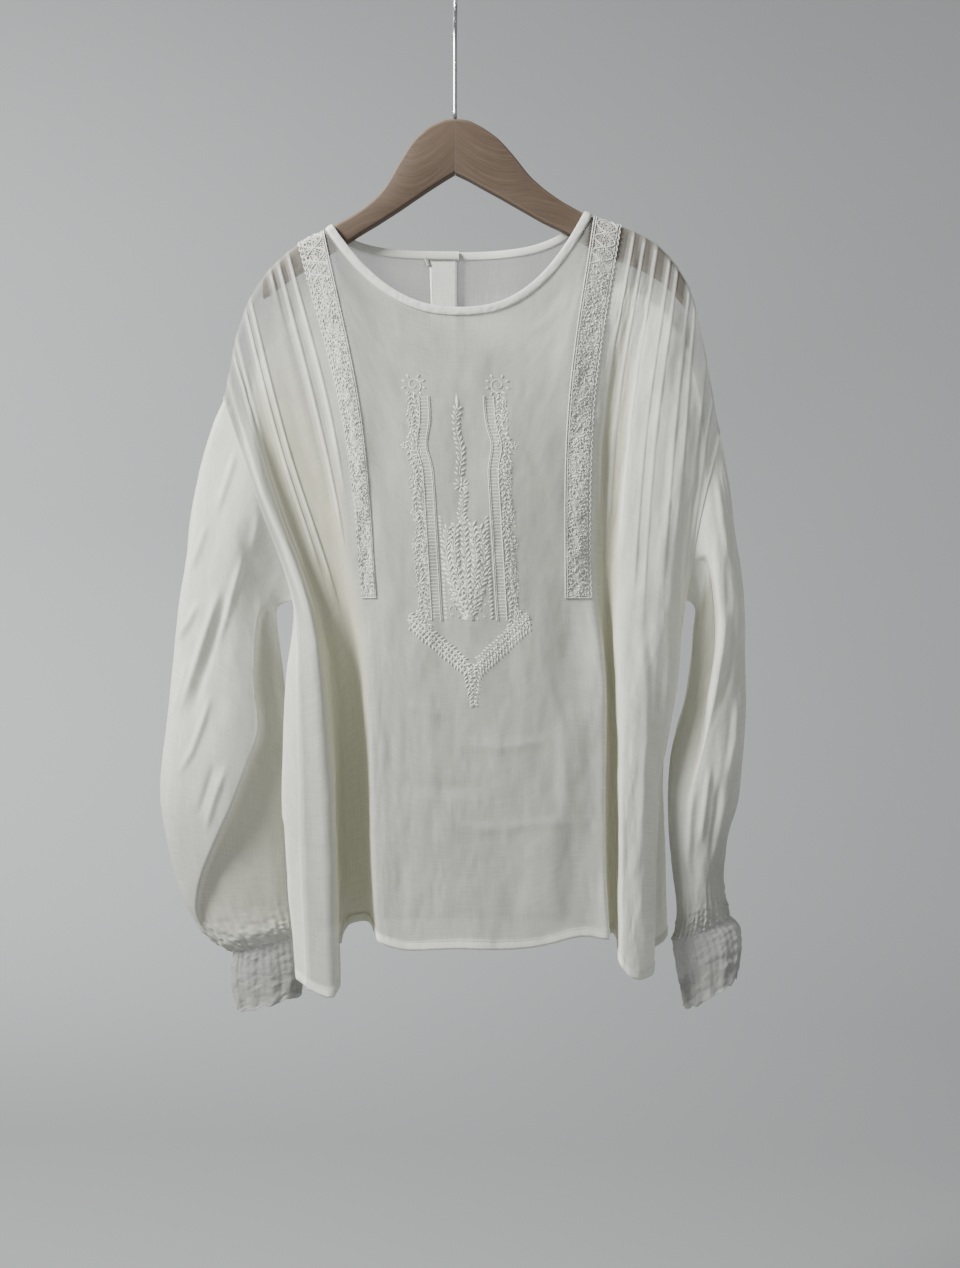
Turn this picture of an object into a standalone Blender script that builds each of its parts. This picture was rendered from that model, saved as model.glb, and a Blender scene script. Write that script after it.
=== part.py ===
"""An embroidered folk blouse hanging on a wooden hanger.

Metres, +Z up. The origin is the inner top of the hook, where it hangs. The front of the blouse
faces -Y. Left and right are as seen from the front. Tables are in millimetres.

Each panel of cloth is drawn as a table of grain lines, one row for each fold or edge, with
its place at seven levels from the shoulder to the hem. A panel's surface is read off between
them, and its wall is built to both sides of that surface.
"""

import math
from collections import namedtuple

import bmesh
import bpy
import numpy as np

MM = 0.001

CLOTH = 1.2
SEAM_GAP = 0.3
SKIN_GAP = 0.3
HEM_DEPTH = 8.0
HEM_EXTRA = 0.8
LAP_WIDTH = 32.0
LAP_DEPTH = 3.9
TUCK_WIDTH = 4.2
TUCK_HEIGHT = 1.8
TUCK_AT_TOP = 0.35
LACE_THICK = 1.0
PLACKET_THICK = 1.0
PLACKET_WIDTH = 23.0
BINDING_WIDTH = 7.5
BINDING_RAISE = 1.6
ROLL_RADIUS = 7.0

HANGER_THICK = 12.0
HANGER_CLEAR = 0.55
HANGER_GAP = 0.4
HANGER_EDGE = 4.0
HOOK_WIRE = 3.8
HOOK_INNER = 21.0
PEAK_Z = -137.0

BUTTON_WIDTH = 10.0
BUTTON_THICK = 2.4
BUTTON_PLACE = (-24.0, -263.0)

# Heights of the levels that every grain line shares; the top and the hem are its own.
ARM_Z = -578.0
WAIST_Z = -655.0
HIP_Z = -745.0
LOW_Z = -828.0

Line = namedtuple(
    "Line",
    "corner top_x top_z mid_x arm_x waist_x hip_x low_x hem_x hem_z"
    " top_y mid_y arm_y waist_y hip_y low_y hem_y",
)

# Front, from the left side seam to the right one. A top_z of None lies on the neckline,
# where top_x is the share of the way round from -1 at the left to +1 at the right.
FRONT = {
    "seam_left": Line(
        0.5, -212, -393, -179, -148, -142, -138, -136, -130, -932,
        -8, -24, -9, -29, -38, -41, -44),
    "ridge_left": Line(
        0.22, -206, -362, -173, -133, -117, -109, -106, -104, -922,
        -8, -28, -33, -40, -45, -48, -50),
    "valley_left": Line(
        0.30, -200, -330, -168, -129, -114, -109, -106, -104, -884,
        -8, -15, -9, 6, 18, 26, 30),
    "valley_left_inner": Line(
        0.30, -183, -287, -145, -99, -89, -85, -82, -80, -876,
        -8, -15, -10, 3, 15, 22, 26),
    "lace_left_outer": Line(
        0.16, -145, -250, -103, -84, -78, -74, -71, -69, -884,
        -8, -22, -29, -36, -40, -42, -44),
    "lace_left_inner": Line(
        0.50, -119, -239, -85, -70, -66, -62, -59, -56, -889,
        -8, -25, -33, -38, -42, -44, -46),
    "chest_left": Line(
        0.50, -0.72, None, -56, -48, -46, -44, -42, -41, -892,
        -11, -28, -36, -41, -44, -46, -48),
    "bib_left": Line(
        0.50, -0.36, None, -24, -20, -19, -18, -17, -16, -890,
        -15, -31, -39, -43, -46, -48, -50),
    "centre": Line(
        0.50, 0.0, None, 5, 8, 9, 10, 10, 11, -889,
        -16, -32, -40, -44, -47, -49, -51),
    "bib_right": Line(
        0.50, 0.36, None, 36, 40, 42, 43, 44, 45, -891,
        -15, -31, -39, -43, -46, -48, -50),
    "chest_right": Line(
        0.50, 0.72, None, 70, 72, 74, 77, 79, 81, -888,
        -11, -28, -36, -41, -44, -46, -48),
    "lace_right_inner": Line(
        0.50, 126, -226, 102, 98, 102, 105, 109, 113, -878,
        -8, -25, -33, -38, -42, -44, -46),
    "lace_right_outer": Line(
        0.16, 156, -236, 128, 126, 135, 136, 137, 139, -884,
        -8, -22, -28, -34, -38, -40, -42),
    "valley_right": Line(
        0.45, 169, -241, 139, 132, 138, 139, 139, 140, -882,
        -8, -15, -13, -12, -12, -12, -12),
    "valley_right_inner": Line(
        0.45, 177, -246, 152, 142, 146, 147, 147, 148, -884,
        -8, -15, -13, -11, -11, -11, -11),
    "fold_right_left": Line(
        0.22, 189, -253, 163, 149, 148, 148, 148, 148, -905,
        -8, -22, -30, -36, -40, -42, -44),
    "fold_right_middle": Line(
        0.50, 211, -280, 191, 180, 173, 167, 165, 160, -920,
        -8, -24, -31, -38, -42, -44, -46),
    "fold_right_edge": Line(
        0.35, 223, -312, 214, 200, 199, 188, 184, 180, -916,
        -8, -20, -24, -28, -30, -30, -30),
    "seam_right": Line(
        0.5, 243, -424, 224, 211, 200, 184, 178, 176, -905,
        -8, -16, -6, -3, 2, 6, 8),
}

# Left half of the back, from the left side seam to the centre.
BACK_LEFT = {
    "seam_left": Line(
        0.5, -212, -393, -179, -148, -142, -138, -136, -130, -932,
        8, 20, -9, -29, -38, -41, -44),
    "fold_edge": Line(
        0.35, -206, -362, -170, -148, -155, -159, -153, -144, -921,
        8, 21, 0, -21, -30, -32, -34),
    "side_left": Line(
        0.40, -200, -330, -162, -145, -144, -139, -134, -128, -905,
        8, 22, 9, -8, -12, -12, -12),
    "corner_left": Line(
        0.40, -183, -287, -150, -139, -141, -142, -138, -134, -893,
        8, 23, 22, 24, 30, 34, 38),
    "back_fold_1": Line(
        0.50, -145, -250, -116, -110, -110, -112, -110, -108, -886,
        8, 24, 33, 38, 46, 52, 56),
    "neck_left": Line(
        0.50, -119, -239, -88, -74, -72, -72, -72, -72, -881,
        8, 20, 26, 32, 38, 42, 44),
    "back_fold_2": Line(
        0.50, -0.5, None, -44, -38, -36, -36, -36, -36, -883,
        12, 22, 31, 38, 46, 50, 54),
    "centre": Line(
        0.50, 0.0, None, 2, 2, 2, 2, 2, 2, -880,
        14, 19, 27, 33, 39, 43, 46),
}

# Right half of the back, from the centre to the right side seam.
BACK_RIGHT = {
    "centre": Line(
        0.50, 0.0, None, 2, 2, 2, 2, 2, 2, -880,
        14, 19, 27, 33, 39, 43, 46),
    "back_fold_3": Line(
        0.50, 0.5, None, 50, 48, 46, 46, 46, 46, -883,
        12, 22, 30, 38, 45, 50, 53),
    "neck_right": Line(
        0.50, 126, -226, 96, 86, 82, 82, 82, 82, -881,
        8, 20, 26, 31, 36, 40, 42),
    "back_fold_4": Line(
        0.50, 156, -236, 124, 114, 110, 110, 110, 112, -885,
        8, 24, 32, 38, 46, 51, 55),
    "back_fold_5": Line(
        0.50, 169, -241, 142, 134, 134, 134, 134, 136, -886,
        8, 24, 31, 37, 42, 47, 49),
    "back_fold_6": Line(
        0.50, 177, -246, 156, 152, 154, 156, 156, 158, -888,
        8, 23, 30, 36, 41, 45, 47),
    "back_fold_7": Line(
        0.50, 189, -253, 173, 172, 174, 178, 180, 182, -890,
        8, 22, 29, 36, 42, 46, 48),
    "corner_right": Line(
        0.40, 211, -280, 194, 192, 194, 196, 199, 202, -893,
        8, 20, 25, 33, 40, 43, 45),
    "side_right": Line(
        0.40, 223, -312, 212, 204, 200, 194, 195, 196, -898,
        8, 18, 10, 14, 20, 22, 24),
    "seam_right": Line(
        0.5, 243, -424, 224, 211, 200, 184, 178, 176, -905,
        8, 16, -6, -3, 2, 6, 8),
}

# The neck hole: where its lowest point, its left and its right corner are, on the edge of
# the binding, and how square each side of its curve is.
Neck = namedtuple("Neck", "low_x low_z left_x left_z right_x right_z left_power right_power")
FRONT_NECK = Neck(3.0, -312.5, -112.5, -234.5, 119.0, -222.5, 2.25, 2.5)
BACK_NECK = Neck(3.0, -254.5, -112.5, -234.5, 119.0, -222.5, 4.0, 3.6)
SHOULDER_LEFT = (-6.5, -4.5)
SHOULDER_RIGHT = (7.0, -3.5)
NECK_TURN = 0.7
NECK_CROWD = 1.8

# Tucks: the grain line at the tuck's left, and how far it lies on the way to the next one.
TUCKS = (
    ("seam_left", 0.50),
    ("ridge_left", 0.32),
    ("ridge_left", 0.70),
    ("valley_left", 0.38),
    ("valley_left", 0.62),
    ("valley_left_inner", 0.34),
    ("valley_left_inner", 0.54),
    ("valley_left_inner", 0.74),
    ("lace_right_outer", 0.55),
    ("valley_right", 0.50),
    ("valley_right_inner", 0.55),
    ("fold_right_left", 0.30),
    ("fold_right_left", 0.62),
    ("fold_right_middle", 0.25),
    ("fold_right_middle", 0.65),
    ("fold_right_edge", 0.30),
    ("fold_right_edge", 0.62),
)
TUCK_END_ROW = 8

# Rows of every panel: the level that a row follows, and how far it is on the way to the next.
TOP, MID, ARM, WAIST, HIP, LOW, HEM = range(7)
ROLL_DROPS = (0.0, 1.2, 4.0, 10.0)
ROWS = (
    (TOP, 0.33), (TOP, 0.68),
    (MID, 0.0), (MID, 0.5),
    (ARM, 0.0), (WAIST, 0.0), (HIP, 0.0), (LOW, 0.0),
)
ARM_ROW = len(ROLL_DROPS) + 4
SLIT_END_ROW = len(ROLL_DROPS) + 1
LACE_END_ROW = ARM_ROW

# Sleeves: rings from the armhole to the cuff seam. fold_at is the share of the way from the
# outer to the inner edge where the front folds back, and fold_step how much of its depth goes.
Ring = namedtuple("Ring", "outer_x outer_z inner_x inner_z front back fold_at fold_step")
SLEEVE_LEFT = (
    Ring(-212, -393, -146, -578, 23, 20, 1.00, 0.0),
    Ring(-230, -445, -161, -586, 25, 21, 1.00, 0.0),
    Ring(-241, -491, -163, -606, 27, 20, 0.86, 0.2),
    Ring(-248, -542, -158, -640, 29, 20, 0.78, 0.4),
    Ring(-255, -592, -154, -676, 30, 21, 0.76, 0.5),
    Ring(-260, -645, -152, -713, 31, 22, 0.76, 0.5),
    Ring(-266, -703, -151, -749, 32, 22, 0.69, 0.5),
    Ring(-269, -753, -150, -786, 32, 22, 0.51, 0.5),
    Ring(-264, -796, -149, -818, 30, 22, 0.33, 0.4),
    Ring(-253, -842, -148, -848, 28, 22, 0.20, 0.3),
    Ring(-238, -874, -146, -868, 25, 20, 0.10, 0.2),
    Ring(-221, -892, -145, -877, 19, 17, 0.05, 0.0),
    Ring(-203, -901, -141, -884, 13, 13, 0.05, 0.0),
)
SLEEVE_RIGHT = (
    Ring(243, -424, 211, -578, 20, 17, 0.80, 0.0),
    Ring(252, -475, 220, -587, 24, 18, 0.62, 0.3),
    Ring(258, -521, 219, -612, 27, 19, 0.54, 0.6),
    Ring(265, -569, 216, -645, 29, 20, 0.52, 0.7),
    Ring(266, -620, 209, -680, 30, 20, 0.54, 0.6),
    Ring(267, -671, 199, -715, 30, 20, 0.60, 0.4),
    Ring(264, -721, 195, -749, 30, 20, 0.70, 0.1),
    Ring(260, -760, 195, -783, 29, 20, 0.80, 0.0),
    Ring(252, -790, 198, -814, 27, 19, 0.80, 0.0),
    Ring(248, -820, 203, -844, 24, 18, 0.80, 0.0),
    Ring(248, -847, 206, -868, 20, 16, 0.80, 0.0),
    Ring(250, -859, 204, -882, 16, 14, 0.80, 0.0),
    Ring(252, -869, 200, -892, 13, 13, 0.80, 0.0),
)
SLEEVE_STEPS = (0.0, 0.35, 1.0, 2.0, 3.0, 4.0, 5.0, 6.0, 7.0, 8.0, 9.0, 10.0, 11.0, 12.0)
SLEEVE_ROUND = 0.8
SLEEVE_BLEND = 2.5
FOLD_SOFT = 0.30
KEEL_LEAST = 0.4
UNDERARM_LIFT = (0.5, 4.5)
GATHERS = 11
GATHER_HEIGHT = 2.6
GATHER_START = 8.0

# Cuffs: rings below the seam, in the sleeves' columns.
CUFF_LEFT = (
    Ring(-206, -914, -140, -900, 14, 14, 1.0, 0.0),
    Ring(-205, -934, -139, -920, 15, 15, 1.0, 0.0),
    Ring(-200, -955, -141, -941, 17, 16, 1.0, 0.0),
)
CUFF_RIGHT = (
    Ring(261, -878, 202, -908, 15, 14, 1.0, 0.0),
    Ring(263, -899, 206, -930, 16, 15, 1.0, 0.0),
    Ring(258, -926, 211, -954, 18, 16, 1.0, 0.0),
)
CUFF_WAVES = 9
CUFF_WAVE_HEIGHT = 2.2

# Hanger arms: x, upper edge and lower edge. Under the cloth the upper edge is None, and
# follows the shoulder.
Arm = namedtuple("Arm", "x top bottom")
ARM_LEFT = (
    Arm(0, -137.0, -187.0),
    Arm(-10, -137.8, -193.0),
    Arm(-24, -144.0, -202.0),
    Arm(-38, -156.5, -211.5),
    Arm(-51, -177.0, -220.5),
    Arm(-62, -197.5, -227.5),
    Arm(-72, -209.0, -234.0),
    Arm(-84, -219.0, -241.0),
    Arm(-98, -228.0, -250.0),
    Arm(-106, -232.0, -254.0),
    Arm(-112, None, -257.0),
    Arm(-119, None, -260.0),
    Arm(-128, None, -264.0),
    Arm(-144, None, -271.5),
    Arm(-160, None, -281.5),
    Arm(-170, None, -290.0),
    Arm(-176, None, -293.0),
)
ARM_RIGHT = (
    Arm(0, -137.0, -187.0),
    Arm(12, -137.8, -192.5),
    Arm(26, -145.0, -200.5),
    Arm(40, -155.0, -208.0),
    Arm(54, -170.5, -216.0),
    Arm(68, -189.0, -224.0),
    Arm(82, -201.5, -232.0),
    Arm(97, -212.0, -239.0),
    Arm(112, -220.5, -245.5),
    Arm(119, None, -248.5),
    Arm(126, None, -251.0),
    Arm(144, None, -256.5),
    Arm(162, None, -262.5),
    Arm(180, None, -271.0),
    Arm(195, None, -281.5),
    Arm(206, None, -294.0),
    Arm(212, None, -302.0),
)

HOOK_SIDES = 8
HOOK_TURN_STEPS = 26
HOOK_START = -58.0
HOOK_END = 208.0
HOOK_STEM_TOP = -64.0

COLOURS = {
    "cloth": ((0.74, 0.75, 0.69), 0.85, 0.0),
    "trim": ((0.78, 0.78, 0.73), 0.8, 0.0),
    "lace": ((0.79, 0.79, 0.74), 0.8, 0.0),
    "wood": ((0.21, 0.145, 0.105), 0.6, 0.0),
    "steel": ((0.55, 0.56, 0.57), 0.28, 1.0),
    "shell": ((0.80, 0.79, 0.74), 0.35, 0.0),
}


def clear_scene():
    for thing in list(bpy.data.objects):
        bpy.data.objects.remove(thing)


def material(name):
    """A plain Principled material of one of the colours above."""
    made = bpy.data.materials.new(name)
    made.use_nodes = True
    shader = made.node_tree.nodes["Principled BSDF"]
    colour, rough, metal = COLOURS[name]
    shader.inputs["Base Color"].default_value = (*colour, 1.0)
    shader.inputs["Roughness"].default_value = rough
    shader.inputs["Metallic"].default_value = metal
    made.diffuse_color = (*colour, 1.0)
    return made


def add_object(name, points, faces, finish, smooth_angle=50.0):
    """An object from points in millimetres, its faces turned outwards."""
    mesh = bpy.data.meshes.new(name)
    mesh.from_pydata([[float(c) * MM for c in p] for p in points], [], faces)
    work = bmesh.new()
    work.from_mesh(mesh)
    bmesh.ops.recalc_face_normals(work, faces=work.faces)
    if work.calc_volume(signed=True) < 0.0:
        bmesh.ops.reverse_faces(work, faces=work.faces)
    work.to_mesh(mesh)
    work.free()
    mesh.shade_smooth()
    mesh.set_sharp_from_angle(angle=math.radians(smooth_angle))
    mesh.materials.append(finish)
    made = bpy.data.objects.new(name, mesh)
    bpy.context.scene.collection.objects.link(made)
    return made


def unit(vectors):
    """Vectors at unit length, along the last axis."""
    length = np.linalg.norm(vectors, axis=-1, keepdims=True)
    return vectors / np.maximum(length, 1e-9)


def roll(drop):
    """Share of the full depth where cloth has rolled over the shoulder by this drop."""
    left = 1.0 - min(max(drop, 0.0), ROLL_RADIUS) / ROLL_RADIUS
    return math.sqrt(1.0 - left * left)


def soft_step(value):
    value = min(max(value, 0.0), 1.0)
    return value * value * (3.0 - 2.0 * value)


def neck_point(neck, share, out=0.0):
    """A point of the neck hole's edge, moved out from the hole, as (x, z).

    Near the corners the way out turns to run along the shoulder.
    """
    left = share < 0.0
    half = neck.low_x - neck.left_x if left else neck.right_x - neck.low_x
    rise = (neck.left_z if left else neck.right_z) - neck.low_z
    power = neck.left_power if left else neck.right_power
    x = neck.low_x + half * share
    z = neck.low_z + rise * abs(share) ** power
    slope = math.copysign(power * rise / half * abs(share) ** (power - 1.0), share)
    way = np.array([slope, -1.0]) / math.hypot(1.0, slope)
    along = np.array(SHOULDER_LEFT if left else SHOULDER_RIGHT)
    turn = soft_step((abs(share) - NECK_TURN) / (1.0 - NECK_TURN))
    way = unit(way * (1.0 - turn) + unit(along) * turn)
    return x + out * way[0], z + out * way[1]


def shoulder_line(neck, x):
    """Height of the shoulder's slope carried on over the neck hole."""
    if x < neck.low_x:
        return neck.left_z + SHOULDER_LEFT[1] / SHOULDER_LEFT[0] * (x - neck.left_x)
    return neck.right_z + SHOULDER_RIGHT[1] / SHOULDER_RIGHT[0] * (x - neck.right_x)


def along_fold(points, corners, segment, share):
    """A point of the folded line through points, each corner rounded by its own share."""
    here, there = points[segment], points[segment + 1]
    near, far = corners[segment], corners[segment + 1]
    if segment > 0 and share < near:
        start = here + (points[segment - 1] - here) * near
        end = here + (there - here) * near
        t = 0.5 + 0.5 * share / near
        return (1 - t) ** 2 * start + 2 * t * (1 - t) * here + t * t * end
    if segment + 2 < len(points) and share > 1.0 - far:
        start = there + (here - there) * far
        end = there + (points[segment + 2] - there) * far
        t = 0.5 * (share - 1.0 + far) / far
        return (1 - t) ** 2 * start + 2 * t * (1 - t) * there + t * t * end
    return here + (there - here) * share


def down_column(stations, z):
    """(x, y) at height z on the smooth curve down through a column's stations."""
    heights = stations[:, 2]
    k = 0
    while k + 2 < len(stations) and z < heights[k + 1]:
        k += 1
    tangents = []
    for j in (k, k + 1):
        low, high = max(j - 1, 0), min(j + 1, len(stations) - 1)
        tangents.append((stations[high] - stations[low]) / (heights[high] - heights[low]))
    span = heights[k + 1] - heights[k]
    t = (z - heights[k]) / span
    value = (
        (2 * t ** 3 - 3 * t ** 2 + 1) * stations[k]
        + (t ** 3 - 2 * t ** 2 + t) * span * tangents[0]
        + (3 * t ** 2 - 2 * t ** 3) * stations[k + 1]
        + (t ** 3 - t ** 2) * span * tangents[1]
    )
    return value[0], value[1]


class Panel:
    """A piece of cloth read off a table of grain lines, at a list of columns.

    face is -1 for the front and +1 for the back, and neck the hole that its top meets.
    """

    def __init__(self, lines, neck, face):
        self.names = list(lines)
        self.lines = list(lines.values())
        self.neck = neck
        self.face = face
        self.columns = []
        self.raises = []

    def share_round_neck(self, segment, share):
        """Place on the neck hole's edge, or None for a column that starts on a shoulder."""
        ends = []
        for line in self.lines[segment:segment + 2]:
            if line.top_z is None:
                ends.append(line.top_x)
            else:
                ends.append(math.copysign(1.0, line.top_x))
        if all(line.top_z is not None for line in self.lines[segment:segment + 2]):
            return None
        if self.lines[segment].top_z is not None:
            share = share ** NECK_CROWD
        elif self.lines[segment + 1].top_z is not None:
            share = 1.0 - (1.0 - share) ** NECK_CROWD
        return ends[0] + (ends[1] - ends[0]) * share

    def top_corners(self):
        """How round the top edge is at each line: everywhere but where the neck starts."""
        corners = [0.5] * len(self.lines)
        for k in range(len(self.lines) - 1):
            if (self.lines[k].top_z is None) != (self.lines[k + 1].top_z is None):
                corners[k if self.lines[k].top_z is not None else k + 1] = 1e-6
        return corners

    def stations(self, segment, share):
        """A column's points at the seven levels, with how far its top hangs down."""
        level_points = []
        corners = [line.corner for line in self.lines]
        for level in range(7):
            points = []
            for line in self.lines:
                x = line[1] if level == TOP else line[level + 2]
                if level == TOP and line.top_z is None:
                    x = neck_point(self.neck, line.top_x, BINDING_WIDTH + SEAM_GAP)[0]
                points.append(np.array([x, line[10 + level], 0.0]))
            used = self.top_corners() if level == TOP else corners
            level_points.append(along_fold(points, used, segment, share))
        return self.set_heights(level_points, segment, share)

    def set_heights(self, points, segment, share):
        heights = [None, None, ARM_Z, WAIST_Z, HIP_Z, LOW_Z, None]
        tops = []
        hems = []
        for line in self.lines:
            top = line.top_z
            if top is None:
                top = neck_point(self.neck, line.top_x, BINDING_WIDTH + SEAM_GAP)[1]
            tops.append(np.array([top]))
            hems.append(np.array([line.hem_z]))
        heights[TOP] = along_fold(tops, self.top_corners(), segment, share)[0]
        heights[HEM] = along_fold(hems, [0.5] * len(hems), segment, share)[0]
        round_neck = self.share_round_neck(segment, share)
        drop = 0.0
        if round_neck is not None:
            x, z = neck_point(self.neck, round_neck, BINDING_WIDTH + SEAM_GAP)
            points[TOP][0] = x
            heights[TOP] = z
            drop = max(shoulder_line(self.neck, x) - z, 0.0)
        heights[MID] = 0.5 * (heights[TOP] + heights[ARM])
        for point, height in zip(points, heights):
            point[2] = height
        return np.array(points), drop

    def point(self, segment, share, level, part, fall=None):
        """The point at a share of the way from a level to the next, or a fall from the top."""
        stations, drop = self.stations(segment, share)
        if fall is not None:
            z = stations[TOP, 2] - fall
        else:
            start = stations[level, 2]
            if level == TOP:
                start -= ROLL_DROPS[-1]
            z = start if part == 0.0 else start + (stations[level + 1, 2] - start) * part
        x, y = down_column(stations, z)
        rolled = roll(drop + stations[TOP, 2] - z)
        return np.array([x, self.face * SEAM_GAP / 2 + y * rolled, z])

    def build(self):
        """Base points of every column, from the top edge to the hem."""
        grid = []
        for segment, share in self.columns:
            column = [self.point(segment, share, TOP, 0.0, fall) for fall in ROLL_DROPS]
            column += [self.point(segment, share, level, part) for level, part in ROWS]
            hem = self.stations(segment, share)[0][HEM, 2]
            top = self.stations(segment, share)[0][TOP, 2]
            for above in (HEM_DEPTH + 0.8, HEM_DEPTH, 0.0):
                column.append(
                    self.point(segment, share, TOP, 0.0, top - hem - above))
            grid.append(column)
        return np.array(grid)


def grid_normals(base, closed=False):
    """Unit normals of a grid of points, pointing to the side that faces out of its loop."""
    if closed:
        along = np.roll(base, -1, axis=0) - np.roll(base, 1, axis=0)
    else:
        forward = unit(np.diff(base, axis=0))
        along = np.empty_like(base)
        along[1:-1] = forward[:-1] + forward[1:]
        along[0], along[-1] = forward[0], forward[-1]
    down = np.gradient(base, axis=1)
    return unit(np.cross(unit(along), unit(down)))


def mitres(base, normals):
    """How much further out a closed grid's points go at its keels, for an even wall."""
    down = np.gradient(base, axis=1)
    least = np.ones(base.shape[:2])
    for side in (1, -1):
        along = side * (np.roll(base, -side, axis=0) - base)
        flat = np.abs(np.sum(unit(np.cross(along, down)) * normals, axis=-1))
        least = np.minimum(least, flat)
    return 1.0 / np.maximum(least, KEEL_LEAST)


def wall(outer, inner, closed=False):
    """Points and faces of a closed wall between two grids of the same size."""
    columns, rows = outer.shape[:2]
    points = np.concatenate([outer.reshape(-1, 3), inner.reshape(-1, 3)])
    shift = columns * rows

    def at(column, row, inside=False):
        return (column % columns) * rows + row + (shift if inside else 0)

    faces = []
    last = columns if closed else columns - 1
    for c in range(last):
        for r in range(rows - 1):
            ring = (at(c, r), at(c + 1, r), at(c + 1, r + 1), at(c, r + 1))
            faces.append(ring)
            faces.append(tuple(ring[i] + shift for i in (0, 3, 2, 1)))
        for r in (0, rows - 1):
            faces.append((at(c, r), at(c + 1, r), at(c + 1, r, True), at(c, r, True)))
    if not closed:
        for c in (0, columns - 1):
            for r in range(rows - 1):
                faces.append((at(c, r), at(c, r + 1), at(c, r + 1, True), at(c, r, True)))
    return points, faces


def spread_columns(panel, steps, tucks):
    """Columns of a panel: each segment's even shares, with three more at every tuck."""
    columns = []
    for segment, name in enumerate(panel.names[:-1]):
        shares = {share: 0.0 for share in steps.get(name, steps["other"])}
        for line, place in tucks:
            if line == name:
                top_a, top_b = panel.lines[segment], panel.lines[segment + 1]
                width = math.hypot(top_b.top_x - top_a.top_x, top_b.top_z - top_a.top_z)
                half = 0.5 * TUCK_WIDTH / width
                shares[place - half] = 0.0
                shares[place] = TUCK_HEIGHT
                shares[place + half] = 0.0
        columns += [(segment, share, shares[share]) for share in sorted(shares)]
    columns.append((len(panel.names) - 2, 1.0, 0.0))
    panel.columns = [(segment, share) for segment, share, _ in columns]
    panel.raises = [height for _, _, height in columns]


def edge_step(base, normals, edge, inward):
    """Unit vectors that lead off a grid's edge column, square to it and to the normal."""
    line = np.gradient(base[edge], axis=0)
    off = base[edge] - base[inward]
    off -= unit(line) * np.sum(off * unit(line), axis=1, keepdims=True)
    off -= normals[edge] * np.sum(off * normals[edge], axis=1, keepdims=True)
    return unit(off)


class Cloth:
    """A panel's base points, normals and both faces of its wall."""

    def __init__(self, panel, reach=None):
        self.panel = panel
        self.base = panel.build()
        if reach is not None:
            reach(self)
        self.normals = grid_normals(self.base)
        if panel.face * self.normals[len(self.base) // 2, 8, 1] < 0.0:
            self.normals = -self.normals
        for column in range(len(self.base)):
            self.roll_normals(column)

    def roll_normals(self, column):
        """Sets a column's normals where the cloth rolls over the shoulder."""
        panel = self.panel
        segment, share = panel.columns[column]
        stations, drop = panel.stations(segment, share)
        on_neck = panel.share_round_neck(segment, share)
        ways = []
        if on_neck is None or abs(on_neck) == 1.0:
            for near in (column - 1, column + 1):
                if 0 <= near < len(self.base):
                    beside = panel.share_round_neck(*panel.columns[near])
                    if beside is None or abs(beside) == 1.0:
                        ways.append((self.base[near, 0] - self.base[column, 0]) * (near - column))
        if on_neck is not None:
            along = SHOULDER_LEFT if on_neck < 0.0 else (-SHOULDER_RIGHT[0], -SHOULDER_RIGHT[1])
            ways.append(-np.array([along[0], 0.0, along[1]]))
        way = unit(sum(unit(step * np.array([1.0, 0.0, 1.0])) for step in ways))
        for row, fall in enumerate(ROLL_DROPS):
            up = 1.0 - (drop + fall) / ROLL_RADIUS
            if up > 0.0:
                out = panel.face * math.sqrt(1.0 - up * up) / abs(stations[TOP, 1])
                rise = up / ROLL_RADIUS
                self.normals[column, row] = unit(
                    np.array([-way[2] * rise, out, way[0] * rise]))

    def faces_of_wall(self, tuck_end):
        raised = np.zeros(self.base.shape[:2])
        for column, height in enumerate(self.panel.raises):
            for row in range(tuck_end + 1):
                raised[column, row] = height * (1.0 - soft_step(row / tuck_end * 1.6 - 0.6))
            raised[column, 0] = height * TUCK_AT_TOP
        raised[:, -2:] += HEM_EXTRA
        self.outer = self.base + self.normals * (CLOTH / 2 + raised)[..., None]
        self.inner = self.base - self.normals * CLOTH / 2


def lap_over(cloth):
    """Carries the top of the right back half across behind the left half, above the slit."""
    panel = cloth.panel
    for column, (segment, share) in enumerate(panel.columns):
        if segment > 0:
            continue
        cloth.base[column, :SLIT_END_ROW, 0] -= LAP_WIDTH * (1.0 - share) ** 1.5
        cloth.base[column, :SLIT_END_ROW + 1, 1] += LAP_DEPTH * (1.0 - soft_step(2.0 * share - 1.0))


def join_seam(first, second, first_edge, second_edge, rows):
    """Gives two cloths one normal along the rows where their edges meet."""
    shared = unit(first.normals[first_edge, rows] + second.normals[second_edge, rows])
    first.normals[first_edge, rows] = shared
    second.normals[second_edge, rows] = shared


def part_edge(cloth, edge, inward, rows):
    """Draws a cloth's edge back by half the seam's gap."""
    off = edge_step(cloth.base, cloth.normals, edge, inward)
    cloth.base[edge, rows] -= off[rows] * SEAM_GAP / 2


def ring_point(ring, angle):
    """A sleeve ring's point: 0 is the outer edge, pi the inner, up to 2 pi by the back."""
    share = (1.0 - math.cos(angle)) / 2.0
    x = ring.outer_x + (ring.inner_x - ring.outer_x) * share
    z = ring.outer_z + (ring.inner_z - ring.outer_z) * share
    swell = abs(math.sin(angle)) ** SLEEVE_ROUND
    if angle <= math.pi:
        fold = soft_step((share - ring.fold_at) / FOLD_SOFT + 0.5)
        return np.array([x, -ring.front * swell * (1.0 - ring.fold_step * fold), z])
    return np.array([x, ring.back * swell, z])


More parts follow.
